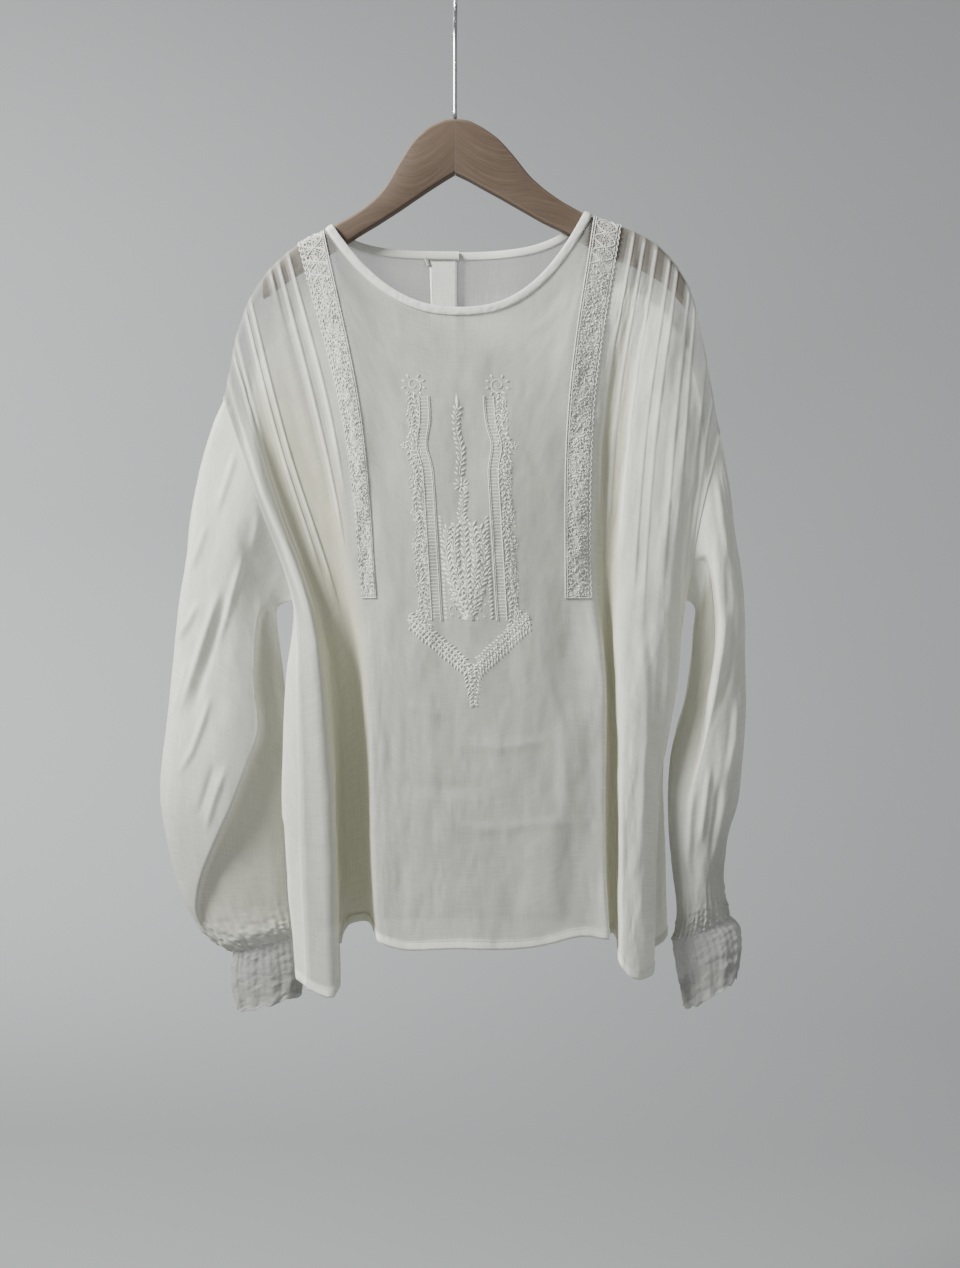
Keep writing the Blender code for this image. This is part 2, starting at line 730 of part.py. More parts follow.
def ring_between(rings, place):
    """A ring read off the table at a place between two of its rows."""
    k = min(int(place), len(rings) - 2)
    t = place - k
    rows = [np.array(rings[min(max(k + j, 0), len(rings) - 1)]) for j in (-1, 0, 1, 2)]
    a, b, c, d = rows
    value = b + 0.5 * t * (c - a + t * (2 * a - 5 * b + 4 * c - d + t * (3 * (b - c) + d - a)))
    return Ring(*value)


def armhole(front, back, edge, inward):
    """Outer and inner points of the loop round an armhole, a seam's gap off the body.

    It starts at the shoulder, goes down the front, under the arm and up the back.
    """
    loops = []
    for cloth, step in ((front, 1), (back, -1)):
        off = edge_step(cloth.base, cloth.normals, edge[cloth], inward[cloth])
        moved = []
        for side, lift in ((cloth.outer, UNDERARM_LIFT[0]), (cloth.inner, UNDERARM_LIFT[1])):
            loop = side[edge[cloth], :ARM_ROW + 1] + off[:ARM_ROW + 1] * SEAM_GAP
            loop[-1] = side[edge[cloth], ARM_ROW] + np.array([0.0, 0.0, lift])
            moved.append(loop)
        loops.append([part[::step] for part in moved])
    joined = []
    for k in range(2):
        front_part, back_part = loops[0][k], loops[1][k]
        corner_top = (front_part[:1] + back_part[-1:]) / 2
        corner_arm = (front_part[-1:] + back_part[:1]) / 2
        loop = np.concatenate(
            [corner_top, front_part[1:-1], corner_arm, back_part[1:-1]])
        between = (loop + np.roll(loop, -1, axis=0)) / 2
        joined.append(np.stack([loop, between], axis=1).reshape(-1, 3))
    return joined


def loop_angles(loop):
    """An angle for each point of an armhole loop, by its share of the way down and up."""
    half = len(loop) // 2
    angles = np.zeros(len(loop))
    for start, end in ((0, half), (half, 2 * half)):
        part = [loop[i % len(loop)] for i in range(start, end + 1)]
        steps = np.concatenate([[0.0], np.cumsum(np.linalg.norm(np.diff(part, axis=0), axis=1))])
        shares = steps / steps[-1]
        for i in range(start, end):
            angles[i] = math.acos(1.0 - 2.0 * shares[i - start])
            if start:
                angles[i] = math.pi + angles[i]
    return angles


def sleeve_grids(rings, loop_outer, loop_inner):
    """Outer and inner grids of a sleeve, from the armhole loop to its cuff seam."""
    middle = (loop_outer + loop_inner) / 2
    angles = loop_angles(middle)
    even = np.linspace(0.0, 2.0 * math.pi, len(angles), endpoint=False)
    at_armhole = np.array([ring_point(rings[0], angle) for angle in angles])
    columns = []
    for place in SLEEVE_STEPS:
        ring = ring_between(rings, place)
        settle = soft_step(place / 6.0)
        fade = 1.0 - soft_step(place / SLEEVE_BLEND)
        turned = angles * (1.0 - settle) + even * settle
        columns.append(
            [ring_point(ring, a) + (m - p) * fade for a, m, p in zip(turned, middle, at_armhole)])
    base = np.array(columns).transpose(1, 0, 2)
    normals = grid_normals(base, closed=True)
    centre = base.mean(axis=0, keepdims=True)
    if np.sum(normals * (base - centre)) < 0.0:
        normals = -normals
    for step, place in enumerate(SLEEVE_STEPS):
        height = GATHER_HEIGHT * soft_step((place - GATHER_START) / 3.0)
        wave = height * np.cos(GATHERS * even)
        base[:, step] += normals[:, step] * wave[:, None]
    offset = normals * (CLOTH / 2 * mitres(base, normals))[..., None]
    outer = base + offset
    inner = base - offset
    outer[:, 0], inner[:, 0] = loop_outer, loop_inner
    return outer, inner


def cuff_grids(rings, sleeve_outer, sleeve_inner):
    """Outer and inner grids of a cuff, from just below its sleeve to its waved edge."""
    count = len(sleeve_outer)
    angles = np.linspace(0.0, 2.0 * math.pi, count, endpoint=False)
    middle = (sleeve_outer[:, -1] + sleeve_inner[:, -1]) / 2
    before = (sleeve_outer[:, -2] + sleeve_inner[:, -2]) / 2
    onward = unit(middle - before)
    across = sleeve_outer[:, -1] - sleeve_inner[:, -1]
    onward = unit(onward - unit(across) * np.sum(onward * unit(across), axis=1, keepdims=True))
    first = middle + onward * SEAM_GAP
    base = [first]
    for step, ring in enumerate(rings):
        points = np.array([ring_point(ring, angle) for angle in angles])
        out = unit(points - points.mean(axis=0))
        wave = CUFF_WAVE_HEIGHT * (step + 1) / len(rings) * np.cos(CUFF_WAVES * angles)
        base.append(points + out * wave[:, None])
    base = np.array(base).transpose(1, 0, 2)
    normals = grid_normals(base, closed=True)
    if np.sum(normals * (base - base.mean(axis=0, keepdims=True))) < 0.0:
        normals = -normals
    outer = base + normals * CLOTH / 2
    inner = base - normals * CLOTH / 2
    outer[:, 0] = first + across / 2
    inner[:, 0] = first - across / 2
    return outer, inner


def binding_grids(cloth, first, last):
    """The rounded strip that binds a cloth's neck edge between two of its columns."""
    panel = cloth.panel
    outer, inner = [], []
    for column in range(first, last + 1):
        segment, share = panel.columns[column]
        on_neck = panel.share_round_neck(segment, share)
        if on_neck is None:
            on_neck = math.copysign(1.0, panel.lines[segment].top_x)
        x, z = neck_point(panel.neck, on_neck)
        edge = cloth.base[column, 0]
        drop = max(shoulder_line(panel.neck, x) - z, 0.0)
        depth = panel.stations(segment, share)[0][TOP, 1]
        lip = np.array([x, panel.face * SEAM_GAP / 2 + depth * roll(drop), z])
        lip += edge - panel.point(segment, share, TOP, 0.0, 0.0)
        normal = cloth.normals[column, 0]
        way = unit(lip - edge)
        if abs(on_neck) == 1.0:
            normal = unit(normal - way * np.dot(way, normal))
        else:
            way = unit(way - normal * np.dot(way, normal))
        foot = edge + way * SEAM_GAP
        lip = edge + way * (SEAM_GAP + BINDING_WIDTH)
        low = -CLOTH / 2
        high = CLOTH / 2 + BINDING_RAISE
        outer.append([foot + normal * (high - 0.7), foot + way * 1.2 + normal * high,
                      lip - way * 1.2 + normal * high, lip + normal * (high - 0.7)])
        inner.append([foot + normal * low, foot + way * 1.2 + normal * low,
                      lip - way * 1.2 + normal * low, lip + normal * low])
    return np.array(outer), np.array(inner)


def strip_grids(cloth, columns, rows, side, gap, thick):
    """A flat strip that follows a cloth's columns and rows, clear of it by a gap."""
    near = CLOTH / 2 + gap
    base = cloth.base[columns, rows]
    normals = cloth.normals[columns, rows] * side
    return base + normals * (near + thick), base + normals * near


def shoulder_height(cloths, x):
    """Height of the shoulder's top edge at x, off the points of the built panels."""
    edge = []
    for cloth in cloths:
        for column, (segment, share) in enumerate(cloth.panel.columns):
            on_neck = cloth.panel.share_round_neck(segment, share)
            if on_neck is None or abs(on_neck) == 1.0:
                edge.append(cloth.base[column, 0])
    edge = sorted((p[0], p[2]) for p in edge)
    return float(np.interp(x, [p[0] for p in edge], [p[1] for p in edge]))


def hanger_arm(name, table, cloths, finish):
    """Half of the hanger, as rounded sections that meet the other half on a mitre."""
    side = 1.0 if table[-1].x > 0 else -1.0
    neck_x = FRONT_NECK.right_x if side > 0 else FRONT_NECK.left_x
    sections = []
    for arm in table:
        x = arm.x if arm.x else side * SEAM_GAP / 2
        top = arm.top
        if top is None:
            beyond = abs(x) > abs(neck_x) + BINDING_WIDTH
            top, slope = shoulder_height(cloths, x), shoulder_height(cloths, x + side)
            if not beyond:
                top, slope = shoulder_line(FRONT_NECK, x), shoulder_line(FRONT_NECK, x + side)
            steep = math.hypot(1.0, slope - top)
            top -= HANGER_CLEAR + (CLOTH / 2 + HANGER_GAP) * steep
        tall = top - arm.bottom
        edge = min(HANGER_EDGE, 0.45 * tall)
        half = HANGER_THICK / 2
        profile = (
            (-half + edge, top), (half - edge, top), (half, top - edge),
            (half, arm.bottom + edge / 2), (half - edge / 2, arm.bottom),
            (-half + edge / 2, arm.bottom), (-half, arm.bottom + edge / 2),
            (-half, top - edge),
        )
        sections.append([(x, y, z) for y, z in profile])
    sides = len(sections[0])
    points = [point for section in sections for point in section]
    faces = [tuple(range(sides)), tuple(range(len(points) - sides, len(points)))]
    for s in range(len(sections) - 1):
        for k in range(sides):
            a, b = s * sides + k, s * sides + (k + 1) % sides
            faces.append((a, b, b + sides, a + sides))
    add_object(name, points, faces, finish, smooth_angle=35.0)


def hook_route():
    """Centre line of the hook: a straight stem, an easy bend and a turn over the top."""
    reach = HOOK_INNER + HOOK_WIRE / 2
    middle_z = HOOK_WIRE / 2 - reach
    route = [(0.0, PEAK_Z + SEAM_GAP), (0.0, -100.0), (0.0, HOOK_STEM_TOP)]
    start = math.radians(HOOK_START)
    first = (reach * math.cos(start), middle_z + reach * math.sin(start))
    lead = (first[0] + 11.0 * math.sin(start), first[1] - 11.0 * math.cos(start))
    rise = (0.0, HOOK_STEM_TOP + 9.0)
    origin = route[-1]
    for k in range(1, 6):
        t = k / 6.0
        point = [
            (1 - t) ** 3 * origin[i] + 3 * t * (1 - t) ** 2 * rise[i]
            + 3 * t * t * (1 - t) * lead[i] + t ** 3 * first[i]
            for i in (0, 1)
        ]
        route.append(tuple(point))
    for k in range(HOOK_TURN_STEPS + 1):
        angle = math.radians(HOOK_START + (HOOK_END - HOOK_START) * k / HOOK_TURN_STEPS)
        route.append((reach * math.cos(angle), middle_z + reach * math.sin(angle)))
    return route


def hook(finish):
    """The steel hook, a round wire with a domed tip."""
    route = hook_route()
    rings = []
    for k, (y, z) in enumerate(route):
        before, after = route[max(k - 1, 0)], route[min(k + 1, len(route) - 1)]
        dy, dz = after[0] - before[0], after[1] - before[1]
        length = math.hypot(dy, dz)
        side = (-dz / length, dy / length)
        rings.append((y, z, side, HOOK_WIRE / 2))
    y, z, side, radius = rings[-1]
    forward = (side[1], -side[0])
    for ahead, share in ((0.9, 0.85), (1.5, 0.5)):
        rings.append((y + forward[0] * ahead, z + forward[1] * ahead, side, radius * share))
    points, faces = [], []
    for y, z, side, radius in rings:
        for k in range(HOOK_SIDES):
            turn = 2.0 * math.pi * (k + 0.5) / HOOK_SIDES
            out, over = radius * math.cos(turn), radius * math.sin(turn)
            points.append((over, y + side[0] * out, z + side[1] * out))
    for s in range(len(rings) - 1):
        for k in range(HOOK_SIDES):
            a, b = s * HOOK_SIDES + k, s * HOOK_SIDES + (k + 1) % HOOK_SIDES
            faces.append((a, b, b + HOOK_SIDES, a + HOOK_SIDES))
    faces.append(tuple(range(HOOK_SIDES)))
    faces.append(tuple(range(len(points) - HOOK_SIDES, len(points))))
    add_object("hanger_hook", points, faces, finish, smooth_angle=60.0)


def neck_button(back_y, finish):
    """A small round button with a rolled rim, just clear of the lapped back binding."""
    x, z = BUTTON_PLACE
    near = back_y + SKIN_GAP
    profile = (
        (0.5, near), (0.85, near + 0.3), (1.0, near + 1.1), (0.92, near + BUTTON_THICK),
        (0.72, near + BUTTON_THICK), (0.60, near + BUTTON_THICK - 0.6),
    )
    sides = 20
    points, faces = [], []
    for share, y in profile:
        for k in range(sides):
            turn = 2.0 * math.pi * k / sides
            radius = share * BUTTON_WIDTH / 2
            points.append((x + radius * math.cos(turn), y, z + radius * math.sin(turn)))
    for s in range(len(profile) - 1):
        for k in range(sides):
            a, b = s * sides + k, s * sides + (k + 1) % sides
            faces.append((a, b, b + sides, a + sides))
    faces.append(tuple(range(sides)))
    faces.append(tuple(range(len(points) - sides, len(points))))
    add_object("neck_button", points, faces, finish)


def build_front():
    panel = Panel(FRONT, FRONT_NECK, -1.0)
    steps = {
        "other": (0.0, 0.5),
        "seam_left": (0.0, 0.82),
        "ridge_left": (0.0, 0.12),
        "valley_left": (0.0, 0.15, 0.85),
        "valley_left_inner": (0.0, 0.15, 0.90),
        "lace_left_outer": (0.0, 0.10, 0.50, 0.92),
        "lace_left_inner": (0.0, 0.14, 0.25, 0.38, 0.65),
        "chest_right": (0.0, 0.35, 0.62, 0.76, 0.87),
        "lace_right_inner": (0.0, 0.10, 0.50, 0.90),
        "lace_right_outer": (0.0, 0.12),
        "valley_right": (0.0,),
        "valley_right_inner": (0.0, 0.88),
        "fold_right_left": (0.0, 0.10),
        "fold_right_middle": (0.0, 0.85),
        "fold_right_edge": (0.0, 0.15, 0.85),
    }
    spread_columns(panel, steps, TUCKS)
    return Cloth(panel)


def build_back(lines, reach=None):
    panel = Panel(lines, BACK_NECK, 1.0)
    steps = {
        "other": (0.0, 0.5),
        "fold_edge": (0.0, 0.25, 0.65),
        "side_left": (0.0, 0.3, 0.7),
        "corner_left": (0.0, 0.25, 0.6),
        "neck_left": (0.0, 0.14, 0.25, 0.38, 0.65),
        "back_fold_2": (0.0, 0.5, 0.995 - PLACKET_WIDTH / 50.0),
        "back_fold_3": (0.0, 0.35, 0.62, 0.76, 0.87),
    }
    spread_columns(panel, steps, ())
    return Cloth(panel, reach)


def column_at(cloth, name, share):
    """Index of the column nearest a share of the way on from a named grain line."""
    segment = cloth.panel.names.index(name)
    gaps = [abs(s + f - segment - share) for s, f in cloth.panel.columns]
    return gaps.index(min(gaps))


def build():
    clear_scene()
    finishes = {name: material(name) for name in COLOURS}
    front = build_front()
    left = build_back(BACK_LEFT)
    right = build_back(BACK_RIGHT, lap_over)

    below_arm = slice(ARM_ROW, None)
    join_seam(front, left, 0, 0, below_arm)
    join_seam(front, right, -1, -1, below_arm)
    join_seam(left, right, -1, 0, slice(SLIT_END_ROW + 1, None))
    part_edge(front, 0, 1, below_arm)
    part_edge(left, 0, 1, below_arm)
    part_edge(front, -1, -2, below_arm)
    part_edge(right, -1, -2, below_arm)
    everywhere = slice(0, None)
    part_edge(left, -1, -2, everywhere)
    part_edge(right, 0, 1, everywhere)
    for cloth in (front, left, right):
        cloth.faces_of_wall(TUCK_END_ROW)

    add_object("front_panel", *wall(front.outer, front.inner), finishes["cloth"])
    add_object("back_left", *wall(left.outer, left.inner), finishes["cloth"])
    add_object("back_right", *wall(right.outer, right.inner), finishes["cloth"])

    sides = (
        ("left", SLEEVE_LEFT, CUFF_LEFT, left, {front: 0, left: 0}, {front: 1, left: 1}),
        ("right", SLEEVE_RIGHT, CUFF_RIGHT, right, {front: -1, right: -1},
         {front: -2, right: -2}),
    )
    for side, rings, cuff_rings, back, edge, inward in sides:
        loop_outer, loop_inner = armhole(front, back, edge, inward)
        outer, inner = sleeve_grids(rings, loop_outer, loop_inner)
        add_object(f"sleeve_{side}", *wall(outer, inner, closed=True), finishes["cloth"])
        grids = cuff_grids(cuff_rings, outer, inner)
        add_object(f"cuff_{side}", *wall(*grids, closed=True), finishes["trim"])

    binding = binding_grids(
        front, column_at(front, "lace_left_inner", 0.0), column_at(front, "lace_right_inner", 0.0))
    add_object("neck_binding_front", *wall(*binding), finishes["trim"])
    last = len(left.base) - 1
    binding = binding_grids(left, column_at(left, "neck_left", 0.0), last)
    add_object("neck_binding_back_left", *wall(*binding), finishes["trim"])
    binding = binding_grids(right, 0, column_at(right, "neck_right", 0.0))
    add_object("neck_binding_back_right", *wall(*binding), finishes["trim"])
    lapped_y = float(binding[0][:, :, 1].max())

    lace_rows = slice(0, LACE_END_ROW + 1)
    strips = (
        ("left", "lace_left_outer", 0.10, 0.92),
        ("right", "lace_right_inner", 0.10, 0.90),
    )
    for side, line, start, end in strips:
        columns = slice(column_at(front, line, start), column_at(front, line, end) + 1)
        grids = strip_grids(front, columns, lace_rows, 1.0, SKIN_GAP, LACE_THICK)
        add_object(f"lace_strip_{side}", *wall(*grids), finishes["lace"])

    placket_columns = slice(len(left.base) - 2, len(left.base))
    grids = strip_grids(
        left, placket_columns, slice(1, SLIT_END_ROW + 2), -1.0, SKIN_GAP, PLACKET_THICK)
    add_object("back_placket", *wall(*grids), finishes["trim"])

    neck_button(lapped_y, finishes["shell"])
    cloths = (front,)
    hanger_arm("hanger_arm_left", ARM_LEFT, cloths, finishes["wood"])
    hanger_arm("hanger_arm_right", ARM_RIGHT, cloths, finishes["wood"])
    hook(finishes["steel"])


build()
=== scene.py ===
"""Looks of an embroidered folk blouse on its wooden hanger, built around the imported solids.

Metres in the file, millimetres in the tables. +Z is up, the front of the blouse faces -Y, and
left and right are as seen from the front. The origin is the inner top of the hook.

Each panel of cloth is read off a table of grain lines, one row for each fold or edge. A place
on it is a number: 3.5 is half way between its fourth grain line and its fifth. Tucks, creases
and crumples are added along the cloth's normal, and the thread work lies on what they give.
"""

import math
from collections import namedtuple

import bpy
import numpy as np
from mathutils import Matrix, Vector


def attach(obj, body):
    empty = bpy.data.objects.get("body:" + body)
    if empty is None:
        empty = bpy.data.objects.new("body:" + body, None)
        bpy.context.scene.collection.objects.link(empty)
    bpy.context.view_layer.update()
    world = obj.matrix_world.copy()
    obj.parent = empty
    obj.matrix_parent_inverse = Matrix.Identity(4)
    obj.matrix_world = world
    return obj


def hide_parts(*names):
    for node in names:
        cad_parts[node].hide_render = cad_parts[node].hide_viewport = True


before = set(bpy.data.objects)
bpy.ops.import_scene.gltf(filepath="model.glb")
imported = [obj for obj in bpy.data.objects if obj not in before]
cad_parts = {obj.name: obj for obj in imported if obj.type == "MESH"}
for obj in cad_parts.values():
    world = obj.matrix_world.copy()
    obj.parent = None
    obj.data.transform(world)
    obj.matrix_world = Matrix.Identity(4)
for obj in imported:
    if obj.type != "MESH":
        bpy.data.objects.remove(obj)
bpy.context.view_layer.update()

MM = 0.001
TURN = 2.0 * math.pi

SEAM_GAP = 0.3
BINDING_WIDTH = 7.5
BINDING_PUFF = 1.2
ROLL_RADIUS = 7.0
HEM_DEPTH = 8.5
TUCK_WIDTH = 7.4
TUCK_HEIGHT = 1.15
HANGER_THICK = 12.0
HOOK_WIRE = 3.6
HOOK_INNER = 21.0
PEAK_Z = -137.0
LAP_WIDTH = 32.0
LAP_DEPTH = 3.9
LAP_HEIGHTS = (-321.0, -372.0, -420.0)
PLACKET_WIDTH = 23.0
LACE_END_Z = -578.0
FLOOR_Z = -1500.0

# The camera of the photograph, level with the chest.
CAMERA = (23.0, -1400.0, -610.0)
CAMERA_LENS = 43.2

# Heights of the levels that every grain line shares; the top and the hem are its own.
ARM_Z = -578.0
WAIST_Z = -655.0
HIP_Z = -745.0
LOW_Z = -828.0

# Relief of the cloth: creases, slack, seams, gathers and the waves of a cuff.
CREASE_FADE = 3.2
CREASE_BACK = 4.0
SLACK = 1.9
SLEEVE_SLACK = 1.7
GATHERS = 30
GATHER_HEIGHT = 2.2
GATHER_CRINKLE = 1.3
SEAM_ALLOWANCE = 1.2
SEAM_HEIGHT = 0.9
TUCK_DOUBLE = 0.9
CUFF_WAVES = 11
CUFF_WAVE_HEIGHT = 0.7

# Bib: its top on the middle line, and how that line leans to the right on the way down. Its
# own measures run across from the middle line and down from the top.
BIB_X = 1.0
BIB_Z = -384.0
BIB_LEAN = 0.059
BAND_OUT = 29.0
BAND_HALF = 4.6
BAND_TOP = 11.0
BAND_END = 214.0
BAND_SWING = 4.5
BAND_SWING_AT = 56.0
RUNG_STEP = 3.1
VINE_OUT = 38.5
THREAD_SINK = 0.12

# Lace strips: width of the strip where it is widest, and its pattern down the strip.
LACE_WIDTH = 26.0
LACE_LIFT = 0.75
NET_LENGTH = 48.0
SCALLOP = 5.4
VINE_START = 44.0
VINE_TURN = 34.0
VINE_SWING = 5.4

# How solid the cloth looks: one layer, one layer over the shoulder, and two; and how much painted
# shade a single layer, a recess, a folded-back sleeve and a cuff get.
CLOTH_SOLID = 0.82
THICK_SOLID = 0.94
THIN_SHADE = 0.68
SHEER_SOLID = 0.27
FOLDED_SOLID = 0.98
SHEER_LENGTH = 60.0
SHEER_FADE = 34.0
RECESS_DEPTH = 7.5
SLEEVE_SHADE = 0.60
CUFF_SOLID = 0.66
CUFF_SHADE = {"left": 1.0, "right": 0.3}

# How far more cloth behind the front makes it look solid and lifts its painted shade, and how
# see-through its top is.
BACKED = {
    "seam_left": 0.15, "valley_left": 0.5, "lace_left_outer": 0.1, "lace_left_inner": 0.05,
    "lace_right_inner": 0.0, "lace_right_outer": 1.0, "seam_right": 1.0}
BARE = {
    "seam_left": 1.0, "lace_left_inner": 1.0, "chest_left": 0.1, "chest_right": 0.1,
    "lace_right_inner": 1.0, "seam_right": 1.0}
BACK_BARE = 0.8

# The two long side folds of the front, which get painted shade where they lie deep.
RECESSES = (("ridge_left", "lace_left_outer"), ("lace_right_outer", "fold_right_left"))
FLOOR_COLOUR = (0.30, 0.307, 0.313)

# Running stitches.
STITCH_LONG = 2.2
STITCH_EVERY = 3.1
STITCH_THICK = 0.45

# Hanger and hook: how far the boards stay under the cloth, how their edges are eased, and
# the turn of the hook in degrees.
HANGER_CLEAR = 0.55
HANGER_UNDER = 1.0
HANGER_TOP_EASE = 3.6
HANGER_LOW_EASE = 2.2
HANGER_HEEL = 8.0
HOOK_START = -58.0
HOOK_END = 208.0
HOOK_STEM_TOP = -64.0

Line = namedtuple(
    "Line",
    "corner top_x top_z mid_x arm_x waist_x hip_x low_x hem_x hem_z"
    " top_y mid_y arm_y waist_y hip_y low_y hem_y")


def grain_lines(*rows):
    return {name: Line(*numbers) for name, *numbers in rows}


# Front, from the left side seam to the right one. A top_z of None lies on the neckline,
# where top_x is the share of the way round from -1 at the left to +1 at the right.
FRONT = grain_lines(
    ("seam_left", 0.5, -212, -393, -179, -148, -142, -138, -136, -131, -926,
     -8, -24, -9, -29, -38, -41, -44),
    ("ridge_left", 0.22, -206, -362, -173, -133, -117, -109, -105, -102, -939,
     -8, -28, -33, -40, -45, -48, -50),
    ("valley_left", 0.30, -200, -330, -168, -129, -114, -109, -108, -108, -884,
     -8, -15, -9, 6, 18, 26, 30),
    ("valley_left_inner", 0.30, -183, -287, -145, -99, -89, -85, -82, -80, -876,
     -8, -15, -10, 3, 15, 22, 26),
    ("lace_left_outer", 0.16, -145, -250, -103, -84, -78, -74, -71, -69, -884,
     -8, -22, -29, -36, -40, -42, -44),
    ("lace_left_inner", 0.50, -119, -239, -85, -70, -66, -62, -59, -56, -889,
     -8, -25, -33, -38, -42, -44, -46),
    ("chest_left", 0.50, -0.72, None, -56, -48, -46, -44, -42, -41, -892,
     -11, -28, -36, -41, -44, -46, -48),
    ("bib_left", 0.50, -0.36, None, -24, -20, -19, -18, -17, -16, -890,
     -15, -31, -39, -43, -46, -48, -50),
    ("centre", 0.50, 0.0, None, 5, 8, 9, 10, 10, 11, -889,
     -16, -32, -40, -44, -47, -49, -51),
    ("bib_right", 0.50, 0.36, None, 36, 40, 42, 43, 44, 45, -891,
     -15, -31, -39, -43, -46, -48, -50),
    ("chest_right", 0.50, 0.72, None, 70, 72, 74, 77, 79, 81, -888,
     -11, -28, -36, -41, -44, -46, -48),
    ("lace_right_inner", 0.50, 126, -226, 102, 98, 102, 105, 109, 113, -878,
     -8, -25, -33, -38, -42, -44, -46),
    ("lace_right_outer", 0.16, 156, -236, 128, 126, 135, 136, 137, 139, -884,
     -8, -22, -28, -34, -38, -40, -42),
    ("valley_right", 0.45, 169, -241, 139, 132, 138, 139, 139, 140, -882,
     -8, -15, -13, -12, -12, -12, -12),
    ("valley_right_inner", 0.45, 177, -246, 152, 142, 146, 147, 147, 148, -884,
     -8, -15, -13, -11, -11, -11, -11),
    ("fold_right_left", 0.22, 189, -253, 163, 149, 148, 148, 148, 148, -905,
     -8, -22, -30, -36, -40, -42, -44),
    ("fold_right_middle", 0.50, 211, -280, 191, 180, 173, 167, 165, 160, -920,
     -8, -24, -31, -38, -42, -44, -46),
    ("fold_right_edge", 0.35, 223, -312, 214, 200, 199, 188, 184, 180, -916,
     -8, -20, -24, -28, -30, -30, -30),
    ("seam_right", 0.5, 243, -424, 224, 211, 200, 184, 178, 176, -905,
     -8, -16, -6, -3, 2, 6, 8),
)

# Left half of the back, from the left side seam to the centre.
BACK_LEFT = grain_lines(
    ("seam_left", 0.5, -212, -393, -179, -148, -142, -138, -136, -131, -926,
     8, 20, -9, -29, -38, -41, -44),
    ("fold_edge", 0.35, -206, -362, -170, -148, -155, -159, -153, -145, -918,
     8, 21, 0, -21, -30, -32, -34),
    ("side_left", 0.40, -200, -330, -162, -145, -144, -139, -134, -128, -905,
     8, 22, 9, -8, -12, -12, -12),
    ("corner_left", 0.40, -183, -287, -150, -139, -141, -142, -138, -134, -893,
     8, 23, 22, 24, 30, 34, 38),
    ("back_fold_1", 0.50, -145, -250, -116, -110, -110, -112, -110, -108, -886,
     8, 24, 33, 38, 46, 52, 56),
    ("neck_left", 0.50, -119, -239, -88, -74, -72, -72, -72, -72, -881,
     8, 20, 26, 32, 38, 42, 44),
    ("back_fold_2", 0.50, -0.5, None, -44, -38, -36, -36, -36, -36, -883,
     12, 22, 31, 38, 46, 50, 54),
    ("centre", 0.50, 0.0, None, 2, 2, 2, 2, 2, 2, -880,
     14, 19, 27, 33, 39, 43, 46),
)

# Right half of the back, from the centre to the right side seam.
BACK_RIGHT = grain_lines(
    ("centre", 0.50, 0.0, None, 2, 2, 2, 2, 2, 2, -880,
     14, 19, 27, 33, 39, 43, 46),
    ("back_fold_3", 0.50, 0.5, None, 50, 48, 46, 46, 46, 46, -883,
     12, 22, 30, 38, 45, 50, 53),
    ("neck_right", 0.50, 126, -226, 96, 86, 82, 82, 82, 82, -881,
     8, 20, 26, 31, 36, 40, 42),
    ("back_fold_4", 0.50, 156, -236, 124, 114, 110, 110, 110, 112, -885,
     8, 24, 32, 38, 46, 51, 55),
    ("back_fold_5", 0.50, 169, -241, 142, 134, 134, 134, 134, 136, -886,
     8, 24, 31, 37, 42, 47, 49),
    ("back_fold_6", 0.50, 177, -246, 156, 152, 154, 156, 156, 158, -888,
     8, 23, 30, 36, 41, 45, 47),
    ("back_fold_7", 0.50, 189, -253, 173, 172, 174, 178, 180, 182, -890,
     8, 22, 29, 36, 42, 46, 48),
    ("corner_right", 0.40, 211, -280, 194, 192, 194, 196, 199, 202, -893,
     8, 20, 25, 33, 40, 43, 45),
    ("side_right", 0.40, 223, -312, 212, 204, 200, 194, 195, 196, -898,
     8, 18, 10, 14, 20, 22, 24),
    ("seam_right", 0.5, 243, -424, 224, 211, 200, 184, 178, 176, -905,
     8, 16, -6, -3, 2, 6, 8),
)

# The neck hole: where its lowest point, its left and its right corner are, on the edge of
# the binding, and how square each side of its curve is.
Neck = namedtuple("Neck", "low_x low_z left_x left_z right_x right_z left_power right_power")
FRONT_NECK = Neck(3.0, -312.5, -112.5, -234.5, 119.0, -222.5, 2.25, 2.5)
BACK_NECK = Neck(3.0, -254.5, -112.5, -234.5, 119.0, -222.5, 4.0, 3.6)
SHOULDER_LEFT = (-6.5, -4.5)
SHOULDER_RIGHT = (7.0, -3.5)
NECK_TURN = 0.7
NECK_CROWD = 1.8

# Sleeves: rings from the armhole to the cuff seam. fold_at is the share of the way from the
# outer to the inner edge where the front folds back, and fold_step how much of its depth goes.
Ring = namedtuple("Ring", "outer_x outer_z inner_x inner_z front back fold_at fold_step")
SLEEVE_LEFT = (
    Ring(-212, -393, -146, -578, 23, 20, 1.00, 0.0),
    Ring(-230, -445, -161, -586, 25, 21, 1.00, 0.0),
    Ring(-241, -491, -163, -606, 27, 20, 0.86, 0.2),
    Ring(-248, -542, -158, -640, 29, 20, 0.78, 0.4),
    Ring(-255, -592, -154, -676, 30, 21, 0.76, 0.5),
    Ring(-260, -645, -152, -713, 31, 22, 0.79, 0.5),
    Ring(-266, -703, -151, -749, 32, 22, 0.69, 0.5),
    Ring(-269, -753, -150, -786, 32, 22, 0.57, 0.5),
    Ring(-264, -796, -149, -818, 30, 22, 0.41, 0.45),
    Ring(-253, -842, -148, -848, 28, 22, 0.21, 0.4),
    Ring(-238, -874, -146, -868, 25, 20, 0.07, 0.3),
    Ring(-221, -892, -145, -877, 19, 17, 0.05, 0.0),
    Ring(-203, -901, -141, -884, 13, 13, 0.05, 0.0),
)
